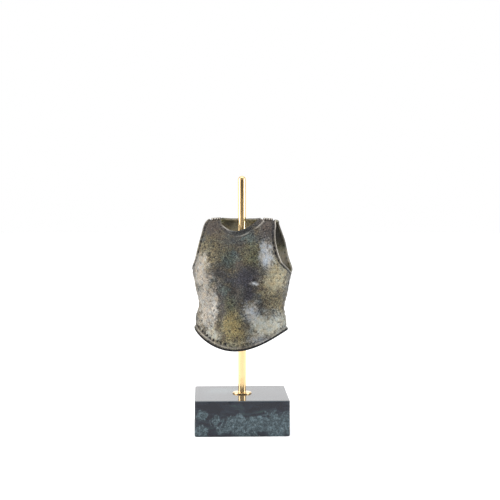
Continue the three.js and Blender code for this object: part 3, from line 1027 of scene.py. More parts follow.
@dataclass
class Relief:
    """Everything that stands out of the plain torso: muscles, lips, mouldings, holes and casting grain.

    Rings are the chest's small curls, each given by its x, its z and its radius.
    """

    torso: Torso
    breast: tuple[Form, ...] = (
        Form(0.4, 0.7, 0.32, 0.1, 1.25),
        Form(0.36, 0.63, 0.27, 0.05, 0.55),
        Form(0, 0.69, 0.09, 0.12, -0.3),
        Form(0.34, 0.55, 0.3, 0.038, -0.75),
        Form(0, 0.525, 0.16, 0.07, -0.7),
        Form(0.7, 0.49, 0.2, 0.08, 0.7),
        Form(0.16, 0.45, 0.13, 0.06, 0.4),
        Form(0.16, 0.34, 0.14, 0.05, 0.4),
        Form(0, 0.19, 0.34, 0.12, 0.9),
        Form(0, 0.37, 0.08, 0.16, -0.2),
        Form(0, 0.275, 0.05, 0.02, -0.4),
        Form(0.38, 0.31, 0.075, 0.16, -0.5),
        Form(0.78, 0.23, 0.26, 0.08, 1.35),
    )
    back: tuple[Form, ...] = (
        Form(0.36, 0.77, 0.28, 0.11, 0.85),
        Form(0, 0.49, 0.08, 0.38, -0.6),
        Form(0.95, 0.18, 0.3, 0.12, -1.2),
        Form(0.62, 0.57, 0.24, 0.14, 0.6),
        Form(0.18, 0.29, 0.13, 0.14, 0.5),
        Form(0.32, 0.13, 0.28, 0.08, 0.5),
    )
    breast_creases: tuple[Crease, ...] = (
        Crease((0.3, 141), (0.1, 122), 0.5, 0.22),
        Crease((13, 113), (5.5, 94), 1.3, -0.55),
        Crease((5.5, 94), (13, 76), 1.3, -0.45),
        Crease((-15, 107), (-15, 68), 2.8, 0.6),
        Crease((-10, 107), (-10.5, 70), 2.6, -0.45),
        Crease((-26, 119), (-6, 116.5), 1.3, -0.5),
        Crease((7, 118), (26, 119.5), 1.3, -0.5),
        Crease((13, 113), (18.8, 110), 0.85, 1.0),
        Crease((12.5, 110), (19, 107.4), 0.9, -0.55),
        Crease((-11, 99), (-2, 98), 1.0, -0.22),
        Crease((2, 98), (6, 98.5), 1.0, -0.22),
        Crease((-11, 88), (-2, 87), 1.0, -0.2),
        Crease((18, 74), (31, 84), 1.3, -0.25),
        Crease((-18, 73), (-31, 84), 1.3, -0.25),
    )
    back_creases: tuple[Crease, ...] = (
        Crease((0, 148), (0, 92), 1.8, -0.5),
        Crease((7, 136), (21, 126), 2.2, -0.45),
        Crease((-7, 136), (-21, 126), 2.2, -0.45),
        Crease((12, 150), (23, 138), 2.4, 0.4),
        Crease((-12, 150), (-23, 138), 2.4, 0.4),
        Crease((6.5, 112), (7.5, 84), 2.4, 0.4),
        Crease((-6.5, 112), (-7.5, 84), 2.4, 0.4),
        Crease((14, 84), (30, 92), 1.8, -0.3),
        Crease((-14, 84), (-30, 92), 1.8, -0.3),
    )
    rings: tuple[tuple[float, float, float], ...] = (
        (-6.9, 141.2, 1.3), (8.0, 142.6, 1.5), (11.3, 140.4, 1.2), (14.8, 138.6, 1.3), (5.2, 139.6, 1.1),
    )
    lip_height: dict = field(default_factory=lambda: {"neck": 0.8, "arm": 0.65, "hem": 1.0})
    lip_reach: dict = field(default_factory=lambda: {"neck": 1.5, "arm": 1.6, "hem": 2.4})
    collar_lines: tuple[EdgeLine, ...] = (
        EdgeLine("collar", 4.4, 0.7, 0.45),
        EdgeLine("collar", 2.7, 0.9, -0.3),
        EdgeLine("collar", 5.9, 0.8, -0.2),
    )
    edge_lines: tuple[EdgeLine, ...] = (
        EdgeLine("collar", 0, 0.9, 0.25),
        EdgeLine("arm", 2.0, 0.7, -0.32),
        EdgeLine("hem", 0.6, 0.8, 0.3),
        EdgeLine("hem", 2.5, 0.6, -0.4),
    )
    ripple: float = 3.8
    ripple_depth: float = 0.75
    dot_radius: float = 0.72
    dot_depth: float = 0.55
    dot_step: float = 3.0
    dot_inset: float = 4.6
    seed: int = 17

    def _forms(self, forms: tuple[Form, ...], points: Array) -> Array:
        """Sum of a plate's forms.

        Args:
            forms: the forms.
            points: places on the plain torso.

        Returns:
            The sum of rise * exp(-dx^2 - dz^2), with dx and dz in shares of each form's spread.
        """
        total = np.zeros(points.shape[:-1])
        for form in forms:
            across = (np.abs(points[..., 0]) / self.torso.half_width - form.across) / form.spread
            up = ((points[..., 2] - self.torso.level(0)) / self.torso.height - form.up) / form.tall
            total += form.rise * np.exp(-(across**2) - up**2)
        return total

    @staticmethod
    def _creases(creases: tuple[Crease, ...], points: Array) -> Array:
        """Sum of a plate's creases.

        Args:
            creases: the creases.
            points: places on the plain torso.

        Returns:
            The sum of rise * exp(-(d / width)^2), where d is the distance from a crease's segment,
            which fades towards its ends as half a sine wave.
        """
        total = np.zeros(points.shape[:-1])
        flat = points[..., [0, 2]]
        for crease in creases:
            start, run = np.array(crease.start), np.array(crease.end) - np.array(crease.start)
            share = np.clip(((flat - start) @ run) / (run @ run), 0, 1)
            away = np.linalg.norm(flat - start - share[..., None] * run, axis=-1)
            taper = 0.35 + 0.65 * np.sin(np.pi * np.clip(share, 0.08, 0.92))
            total += crease.rise * taper * bump(away, crease.width)
        return total

    def skin(self, side: Side, across: Array, station: Array) -> Skin:
        """Works out a plate's skin.

        Args:
            side: the plate.
            across: from -1 to 1 between the plate's two side edges.
            station: section numbers, with the top edge's in the last row.

        Returns:
            The skin, with distances from the neckline's oval seen from above, from the armhole's
            edge, from the hem, and from the collar, which is the neckline itself.
        """
        torso = self.torso
        points = torso.plain(side, across, station)
        found = torso.section(side, station)
        aside = (points[..., 0] - torso.neck_centre) / torso.neck_half_width
        oval = np.hypot(aside, points[..., 1] / torso.neck_depth(side))
        below = np.clip(torso.level(torso.sections[torso.armpit][0]) - points[..., 2], 0, None)
        inward = found["edge_x"] - np.abs(points[..., 0])
        forward = np.abs(points[..., 1]) - found["edge_y"]
        return Skin(side, across, station, points, {
            "neck": (oval - 1) * torso.neck_half_width,
            "arm": np.sqrt(inward**2 + forward**2 + below**2),
            "hem": points[..., 2] - torso.hem(side, across),
            "collar": self._collar(points),
        })

    def _collar(self, points: Array) -> Array:
        """True distance of a grid's points from the middle of its own top row, the neckline."""
        line = points[-1][np.abs(points[-1, :, 0] - self.torso.neck_centre) < self.torso.neck_half_width]
        return np.min([np.linalg.norm(points - place, axis=-1) for place in line[::3]], axis=0)

    def main(self, skin: Skin) -> Array:
        """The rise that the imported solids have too: forms and turned-out lips.

        Args:
            skin: the plate's plain surface.

        Returns:
            The rise in millimetres: the front's forms pass into the back's over the seam, and each
            lip is height * exp(-(d / reach)^2) of the distance d from its edge.
        """
        points = skin.points
        rearward = smoothstep(points[..., 1], -self.torso.seam_blend, self.torso.seam_blend)
        forms = self._forms(self.breast, points) * (1 - rearward)
        rise = self.torso.relief * (forms + self._forms(self.back, points) * rearward)
        for name, height in self.lip_height.items():
            rise = rise + height * bump(skin.away[name], self.lip_reach[name])
        return rise

    def mouldings(self, skin: Skin) -> Array:
        """Fine lines beside the edges, creases, small rings, and the ripple on the flanks.

        Args:
            skin: the plate's plain surface.

        Returns:
            The rise in millimetres. The collar's lines fade towards the wearer's right, and the
            ripple is a sine wave of the height, within 5 mm of the seam.
        """
        points, away = skin.points, skin.away
        worn = 0.3 + 0.7 * smoothstep(points[..., 0], -2.0, 6.0)
        rise = worn * self._lines(self.collar_lines, away) + self._lines(self.edge_lines, away)
        uneven = LatticeNoise(self.seed + 10).at(points, 6.0, 2)
        ripple = 0.5 + 0.5 * np.sin(2 * np.pi * points[..., 2] / self.ripple + 1.5 * uneven)
        flank = smoothstep(points[..., 2], 82, 90) * smoothstep(points[..., 2], 122, 116)
        rise -= self.ripple_depth * ripple * flank * bump(points[..., 1], 5.0)
        if skin.side is Side.BACK:
            return rise + self._creases(self.back_creases, points)
        for x, z, radius in self.rings:
            round_about = np.hypot(points[..., 0] - x, points[..., 2] - z)
            rise += 0.34 * bump(round_about - radius, 0.42) - 0.4 * bump(round_about, 0.6)
        return rise + self._creases(self.breast_creases, points)

    @staticmethod
    def _lines(lines: tuple[EdgeLine, ...], away: dict[str, Array]) -> Array:
        """Sum of rise * exp(-((d - away) / width)^2) of the lines, where d is the edge's distance."""
        return sum(line.rise * bump(away[line.edge] - line.away, line.width) for line in lines)

    def dots(self, side: Side, points: Array) -> Array:
        """Punched holes along the hem and beside the armholes.

        Args:
            side: the plate.
            points: places on its surface.

        Returns:
            The depth share at each point, 1 at a hole's middle. The holes are deepest at the
            wearer's right of the breastplate's hem and nearly worn away elsewhere.
        """
        torso = self.torso
        random = np.random.default_rng(self.seed + side.value)
        count = int(2 * torso.half_width * 1.25 / self.dot_step)
        across = np.linspace(-0.9, 0.9, count) + random.uniform(-0.006, 0.006, count)
        rise = self.dot_inset + random.uniform(-0.35, 0.35, count)
        station = torso.station_at(torso.hem(side, across) + rise)
        hem = torso.plain(side, across, station)
        worn = np.where(across < -0.1, 1.0, 0.28) if side is Side.BREAST else np.full(count, 0.3)
        up = np.linspace(torso.armpit + 0.6, torso.ridge - 1.6, 9)
        sides = np.repeat([-1.0, 1.0], up.size)
        ups = np.tile(up, 2) + random.uniform(-0.12, 0.12, 2 * up.size)
        arm = torso.plain(side, sides * 0.93, ups)
        places = np.concatenate([hem, arm])
        depth = np.concatenate([worn, np.full(sides.size, 0.45)]) * random.uniform(0.55, 1.15, len(places))
        total = np.zeros(points.shape[:-1])
        for place, deep in zip(places, depth):
            away = np.linalg.norm(points - place, axis=-1)
            total = np.maximum(total, deep * bump(away, self.dot_radius))
        return total

    def grain(self, points: Array) -> tuple[Array, Array]:
        """Casting grain and corrosion pits.

        Args:
            points: places on the surface.

        Returns:
            The rise in millimetres, and how deep in a pit each point lies, from 0 to 1.
        """
        coarse = LatticeNoise(self.seed + 5).at(points, 9.0, 2)
        lumps = LatticeNoise(self.seed + 6).at(points, 2.8, 2)
        tooth = LatticeNoise(self.seed + 8).at(points, 0.9)
        pits = LatticeNoise(self.seed + 7).at(points, 1.5, 2)
        hole = smoothstep(pits, 0.35, 0.95)
        rise = 0.15 * (coarse - 1) + 0.08 * (lumps - 1) + 0.05 * (tooth - 1) - 0.28 * hole
        return rise, hole


@dataclass
class Plate:
    """One cast plate of the cuirass, hollow, with its outer and inner faces and rounded rims.

    The inner grid has every second row and column of the outer one.
    """

    side: Side
    torso: Torso
    relief: Relief
    patina: Patina
    inner_across: int = 141
    inner_up: int = 127
    draw: float = 0.45
    rim_round: float = 0.3
    lining_grain: float = 3.0
    lining_rise: float = 0.12

    @property
    def name(self) -> str:
        """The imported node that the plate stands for."""
        return "breastplate" if self.side is Side.BREAST else "backplate"

    @property
    def shape(self) -> tuple[int, int]:
        """Rows and columns of the outer grid."""
        return 2 * self.inner_up - 1, 2 * self.inner_across - 1

    def _grid(self) -> tuple[Array, Array]:
        """The outer grid's parameters.

        Returns:
            The places across and the stations of its points. Both are drawn together at the plate's
            edges by t + draw * (sin(t * pi / 2) - t), and the stations pass from the hem's to the
            top edge's.
        """
        rows, columns = self.shape
        even_across = np.linspace(-1, 1, columns)
        across = even_across + self.draw * (np.sin(even_across * np.pi / 2) - even_across)
        even_up = np.linspace(-1, 1, rows)
        share = (even_up + self.draw * (np.sin(even_up * np.pi / 2) - even_up) + 1) / 2
        foot = self.torso.station_at(self.torso.hem(self.side, across))
        head = self.torso.top(self.side, across)
        ridge = self.torso.ridge
        station = foot + (ridge - foot) * share[:, None] - (ridge - head) * share[:, None] ** 3
        return np.broadcast_to(across, station.shape), station

    def _normals(self, points: Array) -> Array:
        """Unit outward normals of a grid of points, from its own rows and columns."""
        along = np.gradient(points, axis=1)
        upward = np.gradient(points, axis=0)
        normal = -self.side.value * np.cross(along, upward)
        return normal / np.maximum(np.linalg.norm(normal, axis=-1, keepdims=True), 1e-9)

    def build(self, material: bpy.types.Material) -> bpy.types.Object:
        """Builds the plate.

        Args:
            material: its patina.

        Returns:
            The plate as one closed shell: the outer grid, the inner grid one wall behind it along
            the smooth surface's normals, and four rims, with attributes for tint with painted light and
            shade, for wear with painted highlights, and for pits with painted shade.
        """
        side, torso, relief = self.side, self.torso, self.relief
        skin = relief.skin(side, *self._grid())
        normal = torso.normal(side, skin.across, skin.station)
        smooth = skin.points + normal * relief.main(skin)[..., None]
        behind = smooth - self._normals(smooth) * torso.wall
        dots = relief.dots(side, skin.points)
        grain, pits = relief.grain(skin.points)
        detail = relief.mouldings(skin) - relief.dot_depth * dots
        edge = np.minimum.reduce([skin.away["collar"], skin.away["arm"], np.abs(skin.away["hem"])])
        quiet = 0.35 + 0.65 * smoothstep(edge, 0.2, 2.0)
        outer = smooth + normal * (detail + grain * quiet)[..., None]
        lining = LatticeNoise(relief.seed + 9).at(behind, self.lining_grain, 3)
        rough = self.lining_rise * lining * smoothstep(edge, 0.5, 3.0)
        inner = (behind + normal * rough[..., None])[::2, ::2]
        points = np.concatenate([outer.reshape(-1, 3), inner.reshape(-1, 3)])
        depth = np.clip(side.value * points[:, 1], 0, None) + torso.seam_gap
        points[:, 1] = side.value * depth
        placed = torso.turned(points)
        attributes = self._attributes(placed, skin, detail, dots, pits)
        piece = make_object(self.name + "_bronze", placed, self._faces(), material, attributes)
        self._round_rims(piece)
        adopt(piece, "bronze_patina", self.name)
        return piece

    def _attributes(self, placed: Array, skin: Skin, detail: Array, dots: Array,
                    pits: Array) -> dict[str, Array]:
        """What the material reads on each point.

        Args:
            placed: the outer grid's points and then the inner one's, in the row's frame.
            skin: the outer grid.
            detail: how far its fine detail rises.
            dots: how deep in a punched hole each of its points lies.
            pits: how deep in a pit each lies.

        Returns:
            The tint with its painted light and shade, and from 0 to 1 how sunk a point is (with painted
            shade under the hem's roll), how rubbed and highlighted it is, and whether it is inside.
        """
        hem = skin.away["hem"]
        tint = self.patina.outer(placed[:hem.size]).reshape(skin.points.shape)
        tint = self.patina.edged(tint, skin, detail).reshape(-1, 3)
        lining = self.patina.inner(placed[hem.size:], hem[::2, ::2].ravel())
        # Painted shade under the hem's roll, laid into the hollow attribute.
        under = 0.9 * (1 - smoothstep(hem, 0.8, 1.7))
        return {
            "tint": np.concatenate([tint, lining]),
            "hollow": self._both(np.clip(np.maximum(dots * 2, under) + pits * 0.5, 0, 1), 1.0),
            "rim": self._both(self._rim(skin), 0.7),
            "inside": self._both(np.zeros(dots.shape), 0.0, 1.0),
        }

    @staticmethod
    def _both(outer: Array, share: float, offset: float = 0.0) -> Array:
        """A number for the outer grid's points, followed by share times it plus offset on the inner's."""
        return np.concatenate([outer.ravel(), (outer[::2, ::2] * share + offset).ravel()])

    def _rim(self, skin: Skin) -> Array:
        """How rubbed and highlighted each point of the outer grid is.

        Args:
            skin: the outer grid.

        Returns:
            From 0 to 1, most on the armholes' edges, and in broken stretches on the neckline, on the
            moulding beside it and on the hem: rubbed wear together with painted highlight, which is
                stronger towards the viewer's right and on a stretch of the neckline left of its middle.
        """
        points, away = skin.points, skin.away
        patchy = smoothstep(LatticeNoise(self.relief.seed + 12).at(points, 9.0, 2), -0.7, 0.6)
        # Painted highlight: the rims are lighter towards the viewer's right, where the right light falls.
        rightward = smoothstep(points[..., 0], -3.0, 6.0)
        front = 1.0 if self.side is Side.BREAST else 0.25
        worn = front * (0.25 + 0.5 * rightward + 0.3 * patchy) * bump(away["arm"], 0.6)
        worn += (0.1 + 0.4 * patchy) * bump(away["hem"] - 2.4, 0.45)
        if self.side is Side.BREAST:
            # Painted highlight on the neckline's lip a little left of its middle.
            left_turn = smoothstep(points[..., 0], -3.0, -7.0) * smoothstep(points[..., 0], -14.0, -10.0)
            worn += (0.05 + 0.75 * left_turn + 0.4 * rightward * patchy) * bump(away["collar"], 0.6)
            moulding = self.relief.collar_lines[0].away
            worn += 0.7 * rightward * patchy * bump(away["collar"] - moulding, 0.6)
        else:
            worn += 0.3 * patchy * bump(away["collar"], 0.5)
        return np.clip(worn, 0, 1)

    def _lines(self) -> list[tuple[Array, Array]]:
        """The four border lines.

        Returns:
            Each line's point numbers on the outer grid and on the inner one.
        """
        rows, columns = self.shape
        outer = np.arange(rows * columns).reshape(rows, columns)
        inner = np.arange(self.inner_up * self.inner_across).reshape(self.inner_up, -1) + outer.size
        return [
            (outer[0, ::-1], inner[0, ::-1]),
            (outer[-1], inner[-1]),
            (outer[:, 0], inner[:, 0]),
            (outer[::-1, -1], inner[::-1, -1]),
        ]

    def _faces(self) -> list[Array]:
        """The plate's faces.

        Returns:
            Quads of both layers, and five-sided faces of the rims between them, facing outwards.
        """
        rows, columns = self.shape
        outer = grid_faces(rows, columns)
        inner = grid_faces(self.inner_up, self.inner_across)[:, ::-1] + rows * columns
        rims = [
            np.stack([front[:-2:2], front[1:-1:2], front[2::2], behind[1:], behind[:-1]], -1)
            for front, behind in self._lines()
        ]
        faces = [outer, inner, *rims]
        return faces if self.side is Side.BREAST else [patch[:, ::-1] for patch in faces]

    def _round_rims(self, piece: bpy.types.Object) -> None:
        """Rounds the rims' edges with a weighted bevel.

        Args:
            piece: the plate.
        """
        mesh = piece.data
        ends = np.empty(len(mesh.edges) * 2, np.int32)
        mesh.edges.foreach_get("vertices", ends)
        ends = ends.reshape(-1, 2)
        on_rim = np.zeros(len(mesh.edges), bool)
        for front, behind in self._lines():
            for line in (front, behind):
                member = np.zeros(len(mesh.vertices), bool)
                member[line] = True
                on_rim |= member[ends].all(axis=1)
        weights = mesh.attributes.new("bevel_weight_edge", "FLOAT", "EDGE")
        weights.data.foreach_set("value", on_rim.astype(np.float32))
        bevel = piece.modifiers.new("rim_round", "BEVEL")
        bevel.limit_method = "WEIGHT"
        bevel.width = self.rim_round * MM
        bevel.segments = 2


@dataclass
class ShoulderHinge:
    """A row of ribbed knuckles on the seam over one shoulder."""

    torso: Torso
    patina: Patina
    hand: Hand
    knuckles: int = 4
    length: float = 7.4
    radius: float = 1.5
    groove: float = 0.45
    middle: float = 20.2
    proud: float = 0.35
    slant: float = 0.5
    fullness: float = 0.55
    end_share: float = 0.1
    uneven: float = 0.035
    uneven_grain: float = 0.8
    rings: int = 97
    around: int = 48
    seed: int = 23

    @property
    def name(self) -> str:
        """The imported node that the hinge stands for."""
        return "shoulder_hinge_" + self.hand.name.lower()

    def _ridge(self, x: float) -> float:
        """Height of the shoulder ridge above the shelf."""
        half_width = self.torso.half_width * self.torso.sections[-1][1]
        return self.torso.shoulder_top - self.torso.shoulder_drop * (x / half_width) ** 2

    def build(self, material: bpy.types.Material) -> bpy.types.Object:
        """Builds the hinge.

        Args:
            material: its patina.

        Returns:
            A barrel of radius r(x) that swells |sin| between grooves, whose grooves slant across
            it, with rounded closed ends and an uneven surface, darker in the grooves with patina and
            painted shade and lighter on the knuckles' tops with rubbed wear and painted highlight.
        """
        turns = np.arange(self.around) / self.around
        share, turn = np.meshgrid(np.linspace(0, 1, self.rings), turns, indexing="ij")
        angle = turn * 2 * np.pi
        from_end = 0.5 - np.abs(share - 0.5)
        slanted = share + self.slant * np.cos(angle) / self.length * smoothstep(from_end, 0, 0.12)
        swell = np.abs(np.sin(np.pi * np.clip(slanted, 0, 1) * self.knuckles)) ** self.fullness
        past = np.clip(np.abs(2 * share - 1) - (1 - self.end_share), 0, None) / self.end_share
        cap = np.sqrt(np.clip(1 - past**2, 0, None))
        radius = (self.radius - self.groove + self.groove * swell) * cap
        x = (share - 0.5) * self.length
        points = np.stack([x, radius * np.cos(angle), radius * np.sin(angle)], -1)
        lumps = LatticeNoise(self.seed + self.hand.value).at(points, self.uneven_grain, 2)
        points[..., 1:] *= 1 + self.uneven * lumps[..., None]
        points = self._place(points)
        # Darker in the grooves between the knuckles: patina in the hollows, and painted shade.
        hollow = smoothstep(1 - swell, 0.25, 0.9) * 0.8
        # Lighter on the knuckles' upper sides: rubbed wear, and a painted highlight where the light from
        # above falls.
        rim = smoothstep(swell, 0.6, 0.9) * smoothstep(np.sin(angle), -0.3, 0.5)
        ends = [points[0].mean(axis=0), points[-1].mean(axis=0)]
        flat = self.torso.turned(np.concatenate([points[1:-1].reshape(-1, 3), ends]))
        attributes = {
            "tint": self.patina.outer(flat),
            "hollow": np.append(hollow[1:-1].ravel(), [1.0, 1.0]),
            "rim": np.append(rim[1:-1].ravel(), [0.0, 0.0]),
            "inside": np.zeros(len(flat)),
        }
        faces = tube_faces(self.rings - 2, self.around)
        piece = make_object(self.name + "_bronze", flat, faces, material, attributes)
        adopt(piece, "bronze_patina", self.name)
        return piece

    def _place(self, points: Array) -> Array:
        """Tilts the barrel with the shoulder's slope and moves it onto the ridge.

        Args:
            points: the barrel's points, about the x axis.

        Returns:
            The points over the shoulder, before they are turned about the rod.
        """
        middle, half, hand = self.middle, self.length / 2, self.hand.value
        fall = self._ridge(middle + half) - self._ridge(middle - half)
        tilt = hand * math.atan2(fall, self.length)
        cosine, sine = math.cos(tilt), math.sin(tilt)
        x, y, z = points[..., 0], points[..., 1], points[..., 2]
        lift = self._ridge(middle) - self.torso.wall / 2 + self.proud
        return np.stack([x * cosine - z * sine + hand * middle, y, x * sine + z * cosine + lift], -1)


def turned_piece(name: str, profile: Array, centre: tuple[float, float], around: int,
                 material: bpy.types.Material) -> bpy.types.Object:
    """Carries a profile of (radius, height) pairs round an upright axis.

    Args:
        name: the piece's name.
        profile: (n, 2) pairs, outer face upwards, that start and end on the axis or close on
            themselves.
        centre: x and y of the axis.
        around: how many steps it takes round.
        material: the piece's finish.

    Returns:
        The piece. A profile that starts and ends on the axis gets one shared point at each end.
    """
    poled = profile[0, 0] == 0
    kept = profile[1:-1] if poled else profile
    angle = np.arange(around) / around * 2 * np.pi
    ring = np.stack([np.cos(angle), np.sin(angle)], -1)
    grid = np.empty((len(kept), around, 3))
    grid[..., :2] = kept[:, 0, None, None] * ring + np.array(centre)
    grid[..., 2] = kept[:, 1, None]
    points = grid.reshape(-1, 3)
    if poled:
        ends = [[*centre, profile[0, 1]], [*centre, profile[-1, 1]]]
        return make_object(name, np.concatenate([points, ends]), tube_faces(len(kept), around), material)
    faces = grid_faces(len(kept) + 1, around, wrap=True) % len(points)
    return make_object(name, points, [faces], material)


def arc(centre: tuple[float, float], radius: float, start: float, end: float, steps: int) -> Array:
    """An arc of a profile.

    Args:
        centre: its centre's radius and height.
        radius: its own radius.
        start: the angle of its first point, in degrees from outwards towards upwards.
        end: the angle of its last point.
        steps: how many points it has.

    Returns:
        An (n, 2) array of radius and height.
    """
    angle = np.radians(np.linspace(start, end, steps))
    return np.stack([centre[0] + radius * np.cos(angle), centre[1] + radius * np.sin(angle)], -1)


@dataclass
class Stand:
    """The marble block, and the rod with the flange at its foot."""

    torso: Torso
    width: float = 70.0
    height: float = 26.4
    edge: float = 0.7
    corner_power: float = 60.0
    chip_depth: float = 0.22
    chip_grain: float = 2.2
    rod_radius: float = 3.0
    rod_top: float = 191.0
    rod_foot: float = 8.7
    rod_edge: float = 0.3
    bore: float = 3.3
    bore_foot: float = 8.4
    bore_edge: float = 0.2
    flange_radius: float = 7.2
    flange_height: float = 1.0
    flange_foot_edge: float = 0.2
    flange_edge: float = 0.65
    flange_fillet: float = 0.4
    flange_gap: float = 0.02

    def build(self, brass: bpy.types.Material, marble: bpy.types.Material) -> None:
        """Builds the three pieces of the stand.

        Args:
            brass: the finish of the rod and the flange.
            marble: the finish of the block.
        """
        self._block(marble)
        centre = (self.torso.rod_offset, 0.0)
        rod = turned_piece("rod_brass", self._rod_profile(), centre, 96, brass)
        adopt(rod, "polished_brass", "stand_rod")
        flange = turned_piece("flange_brass", self._flange_profile(), centre, 128, brass)
        adopt(flange, "polished_brass", "rod_flange")

    def _rod_profile(self) -> Array:
        """The rod's profile: a rounded foot, a straight side and a dome.

        Returns:
            (n, 2) pairs of radius and height, from the axis back to it.
        """
        radius, edge, foot = self.rod_radius, self.rod_edge, self.rod_foot
        side = np.linspace(foot + 1, self.rod_top - radius - 0.2, 60)
        dome = arc((0, self.rod_top - radius), radius, 0, 90, 16)
        dome[-1, 0] = 0
        return np.concatenate([
            [[0, foot]],
            arc((radius - edge, foot + edge), edge, -90, 0, 4),
            np.stack([np.full(side.size, radius), side], -1),
            dome,
        ])

    def _flange_profile(self) -> Array:
        """The flange's profile: a flat foot, a rounded rim and a fillet up to the rod.

        Returns:
            (n, 2) pairs of radius and height that close on themselves.
        """
        inner, outer, gap = self.rod_radius, self.flange_radius, self.flange_gap
        foot, top = self.height, self.height + self.flange_height
        low, edge, fillet = self.flange_foot_edge, self.flange_edge, self.flange_fillet
        return np.concatenate([
            [[inner + gap, foot + gap]],
            arc((outer - low, foot + low), low, -90, 0, 4),
            arc((outer - edge, top - edge), edge, 0, 90, 9),
            arc((inner + gap + fillet, top + fillet), fillet, -90, -180, 7),
        ])

    def _outline(self, steps: int) -> Array:
        """The block's outline, for a half width of 1.

        Args:
            steps: how many points it has on a side.

        Returns:
            Points of the superellipse |x|^n + |y|^n = 1, evenly turned.
        """
        angle = (np.arange(steps * 4) + 0.5) / (steps * 4) * 2 * np.pi
        ray = np.stack([np.cos(angle), np.sin(angle)], -1)
        power = self.corner_power
        return ray / (np.abs(ray) ** power).sum(axis=-1, keepdims=True) ** (1 / power)

    def _block(self, material: bpy.types.Material) -> None:
        """Builds the block from rings, each a blend of a circle and the square outline.

        They pass from the rod's hole across the top to the rounded edges, down the sides and under.

        Args:
            material: its marble.
        """
        outline = self._outline(56)
        circle = outline / np.linalg.norm(outline, axis=-1, keepdims=True)
        half, edge, top = self.width / 2, self.edge, self.height
        hole = (self.bore_foot, 17.0, top - self.bore_edge)
        levels = [(self.bore, 0.0, height, 0.0) for height in hole]
        levels += [(self.bore + self.bore_edge, 0.0, top, 0.0)]
        levels += [(4 + 30.0 * share, share**0.8, top, 0.0) for share in np.linspace(0, 1, 20)[1:-1]]
        upper = arc((half - edge, top - edge), edge, 90, 0, 8)
        lower = arc((half - edge, edge), edge, 0, -90, 8)
        rub = np.sin(np.linspace(0, np.pi, 8))
        levels += [(radius, 1.0, height, worn) for (radius, height), worn in zip(upper, rub)]
        levels += [(half, 1.0, height, 0.0) for height in np.linspace(top - 2, 2, 10)]
        levels += [(radius, 1.0, height, 0.6 * worn) for (radius, height), worn in zip(lower, rub)]
        levels += [(half * share, share, 0.0, 0.0) for share in (0.75, 0.5, 0.25)]
        radius, square, height, rim = (column[:, None, None] for column in np.array(levels).T)
        middle = np.array([self.torso.rod_offset, 0.0])
        rings = (circle * (1 - square) + outline * square) * radius + middle * (1 - square)
        heights = np.broadcast_to(height, (*rings.shape[:2], 1))
        points = np.concatenate([rings, heights], -1).reshape(-1, 3)
        rim = np.broadcast_to(rim, heights.shape).ravel()
        chips = rim * np.clip(LatticeNoise(3).at(points, self.chip_grain, 2) - 0.25, 0, None)
        outside = np.abs(points[:, :2]) > half - 1.2
        points[:, :2] -= np.sign(points[:, :2]) * outside * chips[:, None] * self.chip_depth
        flat = np.concatenate([points, [[*middle, self.bore_foot], [0, 0, 0]]])
        faces = [patch[:, ::-1] for patch in tube_faces(len(levels), len(outline))]
        piece = make_object("block_marble", flat, faces, material, {"rim": np.append(rim, [0.0, 0.0])})
        adopt(piece, "dark_marble", "marble_base")


@dataclass(frozen=True)
class Softbox:
    """A rectangular soft light.

    Attributes:
        name: its name.
        place: where it hangs, in metres.
        size: its width and height in metres.
        power: its power in watts.
        colour: the colour of its light.
    """

    name: str
    place: Place
    size: tuple[float, float]
    power: float
    colour: Colour

    def hang(self, target: Place) -> None:
        """Makes the light and aims it.

        Args:
            target: the place that it faces, in metres.
        """
        data = bpy.data.lights.new(self.name, "AREA")
        data.shape = "RECTANGLE"
        data.size, data.size_y = self.size
        data.energy = self.power
        data.color = self.colour
        lamp = bpy.data.objects.new(self.name, data)
        lamp.location = Vector(self.place)
        lamp.rotation_euler = (Vector(target) - lamp.location).to_track_quat("-Z", "Y").to_euler()
        bpy.context.scene.collection.objects.link(lamp)


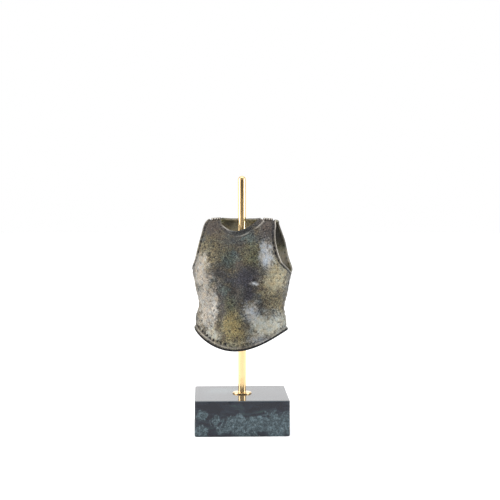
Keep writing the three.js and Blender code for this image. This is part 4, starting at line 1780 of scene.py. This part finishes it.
@dataclass
class Studio:
    """The camera at the photograph's place, the paper sweep and the soft lights."""

    camera_place: Place = (-28.05, -953.56, 188.55)
    camera_turn: float = 2.095
    camera_dip: float = 3.202
    focal_pixels: float = 1266.76
    image_pixels: float = 500.0
    sensor: float = 36.0
    paper_radius: float = 3500.0
    paper_steps: int = 96
    softboxes: tuple[Softbox, ...] = (
        Softbox("left_softbox", (-1.0, -0.15, 0.30), (0.7, 1.0), 11, (1.0, 0.985, 0.965)),
        Softbox("right_softbox", (1.05, -0.30, 0.30), (0.6, 0.9), 8, (0.95, 0.975, 1.0)),
        Softbox("top_softbox", (0.0, 0.0, 1.2), (1.2, 0.8), 6, (1.0, 1.0, 1.0)),
    )
    light_target: Place = (0, 0, 0.11)
    room_direction: Place = (-0.05, -1.0, 0.0)
    room_range: tuple[float, float, float, float] = (0.45, 0.92, 1.3, 0.06)
    wall_range: tuple[float, float, float, float] = (-0.8, -0.97, 0.0, 0.5)
    window_range: tuple[float, float, float, float] = (0.1, 0.13, 0.0, 1.5)
    window_top: float = 0.3
    window_side: float = 0.9

    def aim_camera(self) -> None:
        """Makes the scene's camera."""
        data = bpy.data.cameras.new("camera")
        data.sensor_width = self.sensor
        data.lens = self.focal_pixels / self.image_pixels * self.sensor
        data.clip_start = 0.05
        data.clip_end = 50
        camera = bpy.data.objects.new("camera", data)
        camera.location = Vector(self.camera_place) * MM
        camera.rotation_euler = (math.radians(90 - self.camera_dip), 0, math.radians(-self.camera_turn))
        bpy.context.scene.collection.objects.link(camera)
        bpy.context.scene.camera = camera

    def lay_paper(self, material: bpy.types.Material) -> None:
        """Lays a round sheet of paper under and far about the object.

        Args:
            material: its finish.
        """
        steps, radii = self.paper_steps, np.geomspace(40, self.paper_radius, 24)
        angle = np.arange(steps) / steps * 2 * np.pi
        ring = np.stack([np.cos(angle), np.sin(angle), np.zeros(steps)], -1)
        points = np.concatenate([np.zeros((1, 3)), (radii[:, None, None] * ring).reshape(-1, 3)])
        first = np.arange(steps) + 1
        faces = [
            np.stack([np.zeros(steps, int), first, np.roll(first, -1)], -1),
            grid_faces(radii.size, steps, wrap=True)[:, ::-1] + 1,
        ]
        make_object("paper", points, faces, material)

    def hang_lights(self) -> None:
        """Adds a soft light on each side, one above, and a pale surround that is dim at the front."""
        for softbox in self.softboxes:
            softbox.hang(self.light_target)
        self._surround()
        bpy.context.scene.view_settings.view_transform = "Standard"

    def _surround(self) -> None:
        """Makes the pale surround, which is darker low down on the viewer's side, where the room is."""
        world = bpy.data.worlds.new("surround")
        bpy.context.scene.world = world
        world.use_nodes = True
        make = Nodes(world.node_tree)
        around = make.node("TexCoord", {}, {}, "Generated")
        aim = tuple(Vector(self.room_direction).normalized())
        toward = make.vector("DOT_PRODUCT", around, aim, output="Value")
        rise = make.vector("DOT_PRODUCT", around, (0.0, 0.0, 1.0), output="Value")
        window = rise.between(*self.window_range) * rise.ramp(self.window_top + 0.1, self.window_top)
        strength = toward.between(*self.room_range) + toward.between(*self.wall_range)
        window = window * toward.ramp(self.window_side, self.window_side + 0.05)
        lit = make.node("Background", {}, {"Strength": strength + window})
        seen = make.node("Background", {}, {"Color": (1.0, 1.0, 1.0)})
        camera_ray = make.node("LightPath", {}, {}, "Is Camera Ray")
        shown = make.node("MixShader", {}, {0: camera_ray, 1: lit, 2: seen})
        make.node("OutputWorld", {}, {"Surface": shown}, None)


def main() -> None:
    """Builds the camera, the finishes, every piece of the object and the studio, in order."""
    logging.basicConfig(level=logging.INFO, format="%(name)s: %(message)s")
    studio = Studio()
    studio.aim_camera()
    bronze = BronzePatina().build()
    brass = PolishedBrass().build()
    marble = DarkMarble().build()
    torso = Torso()
    relief = Relief(torso)
    patina = Patina()
    for side in Side:
        Plate(side, torso, relief, patina).build(bronze)
    for hand in Hand:
        ShoulderHinge(torso, patina, hand).build(bronze)
    Stand(torso).build(brass, marble)
    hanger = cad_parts["hanger"]
    hanger.data.materials.clear()
    hanger.data.materials.append(brass)
    studio.lay_paper(PlainPaper().build())
    studio.hang_lights()


if __name__ == "__main__":
    main()
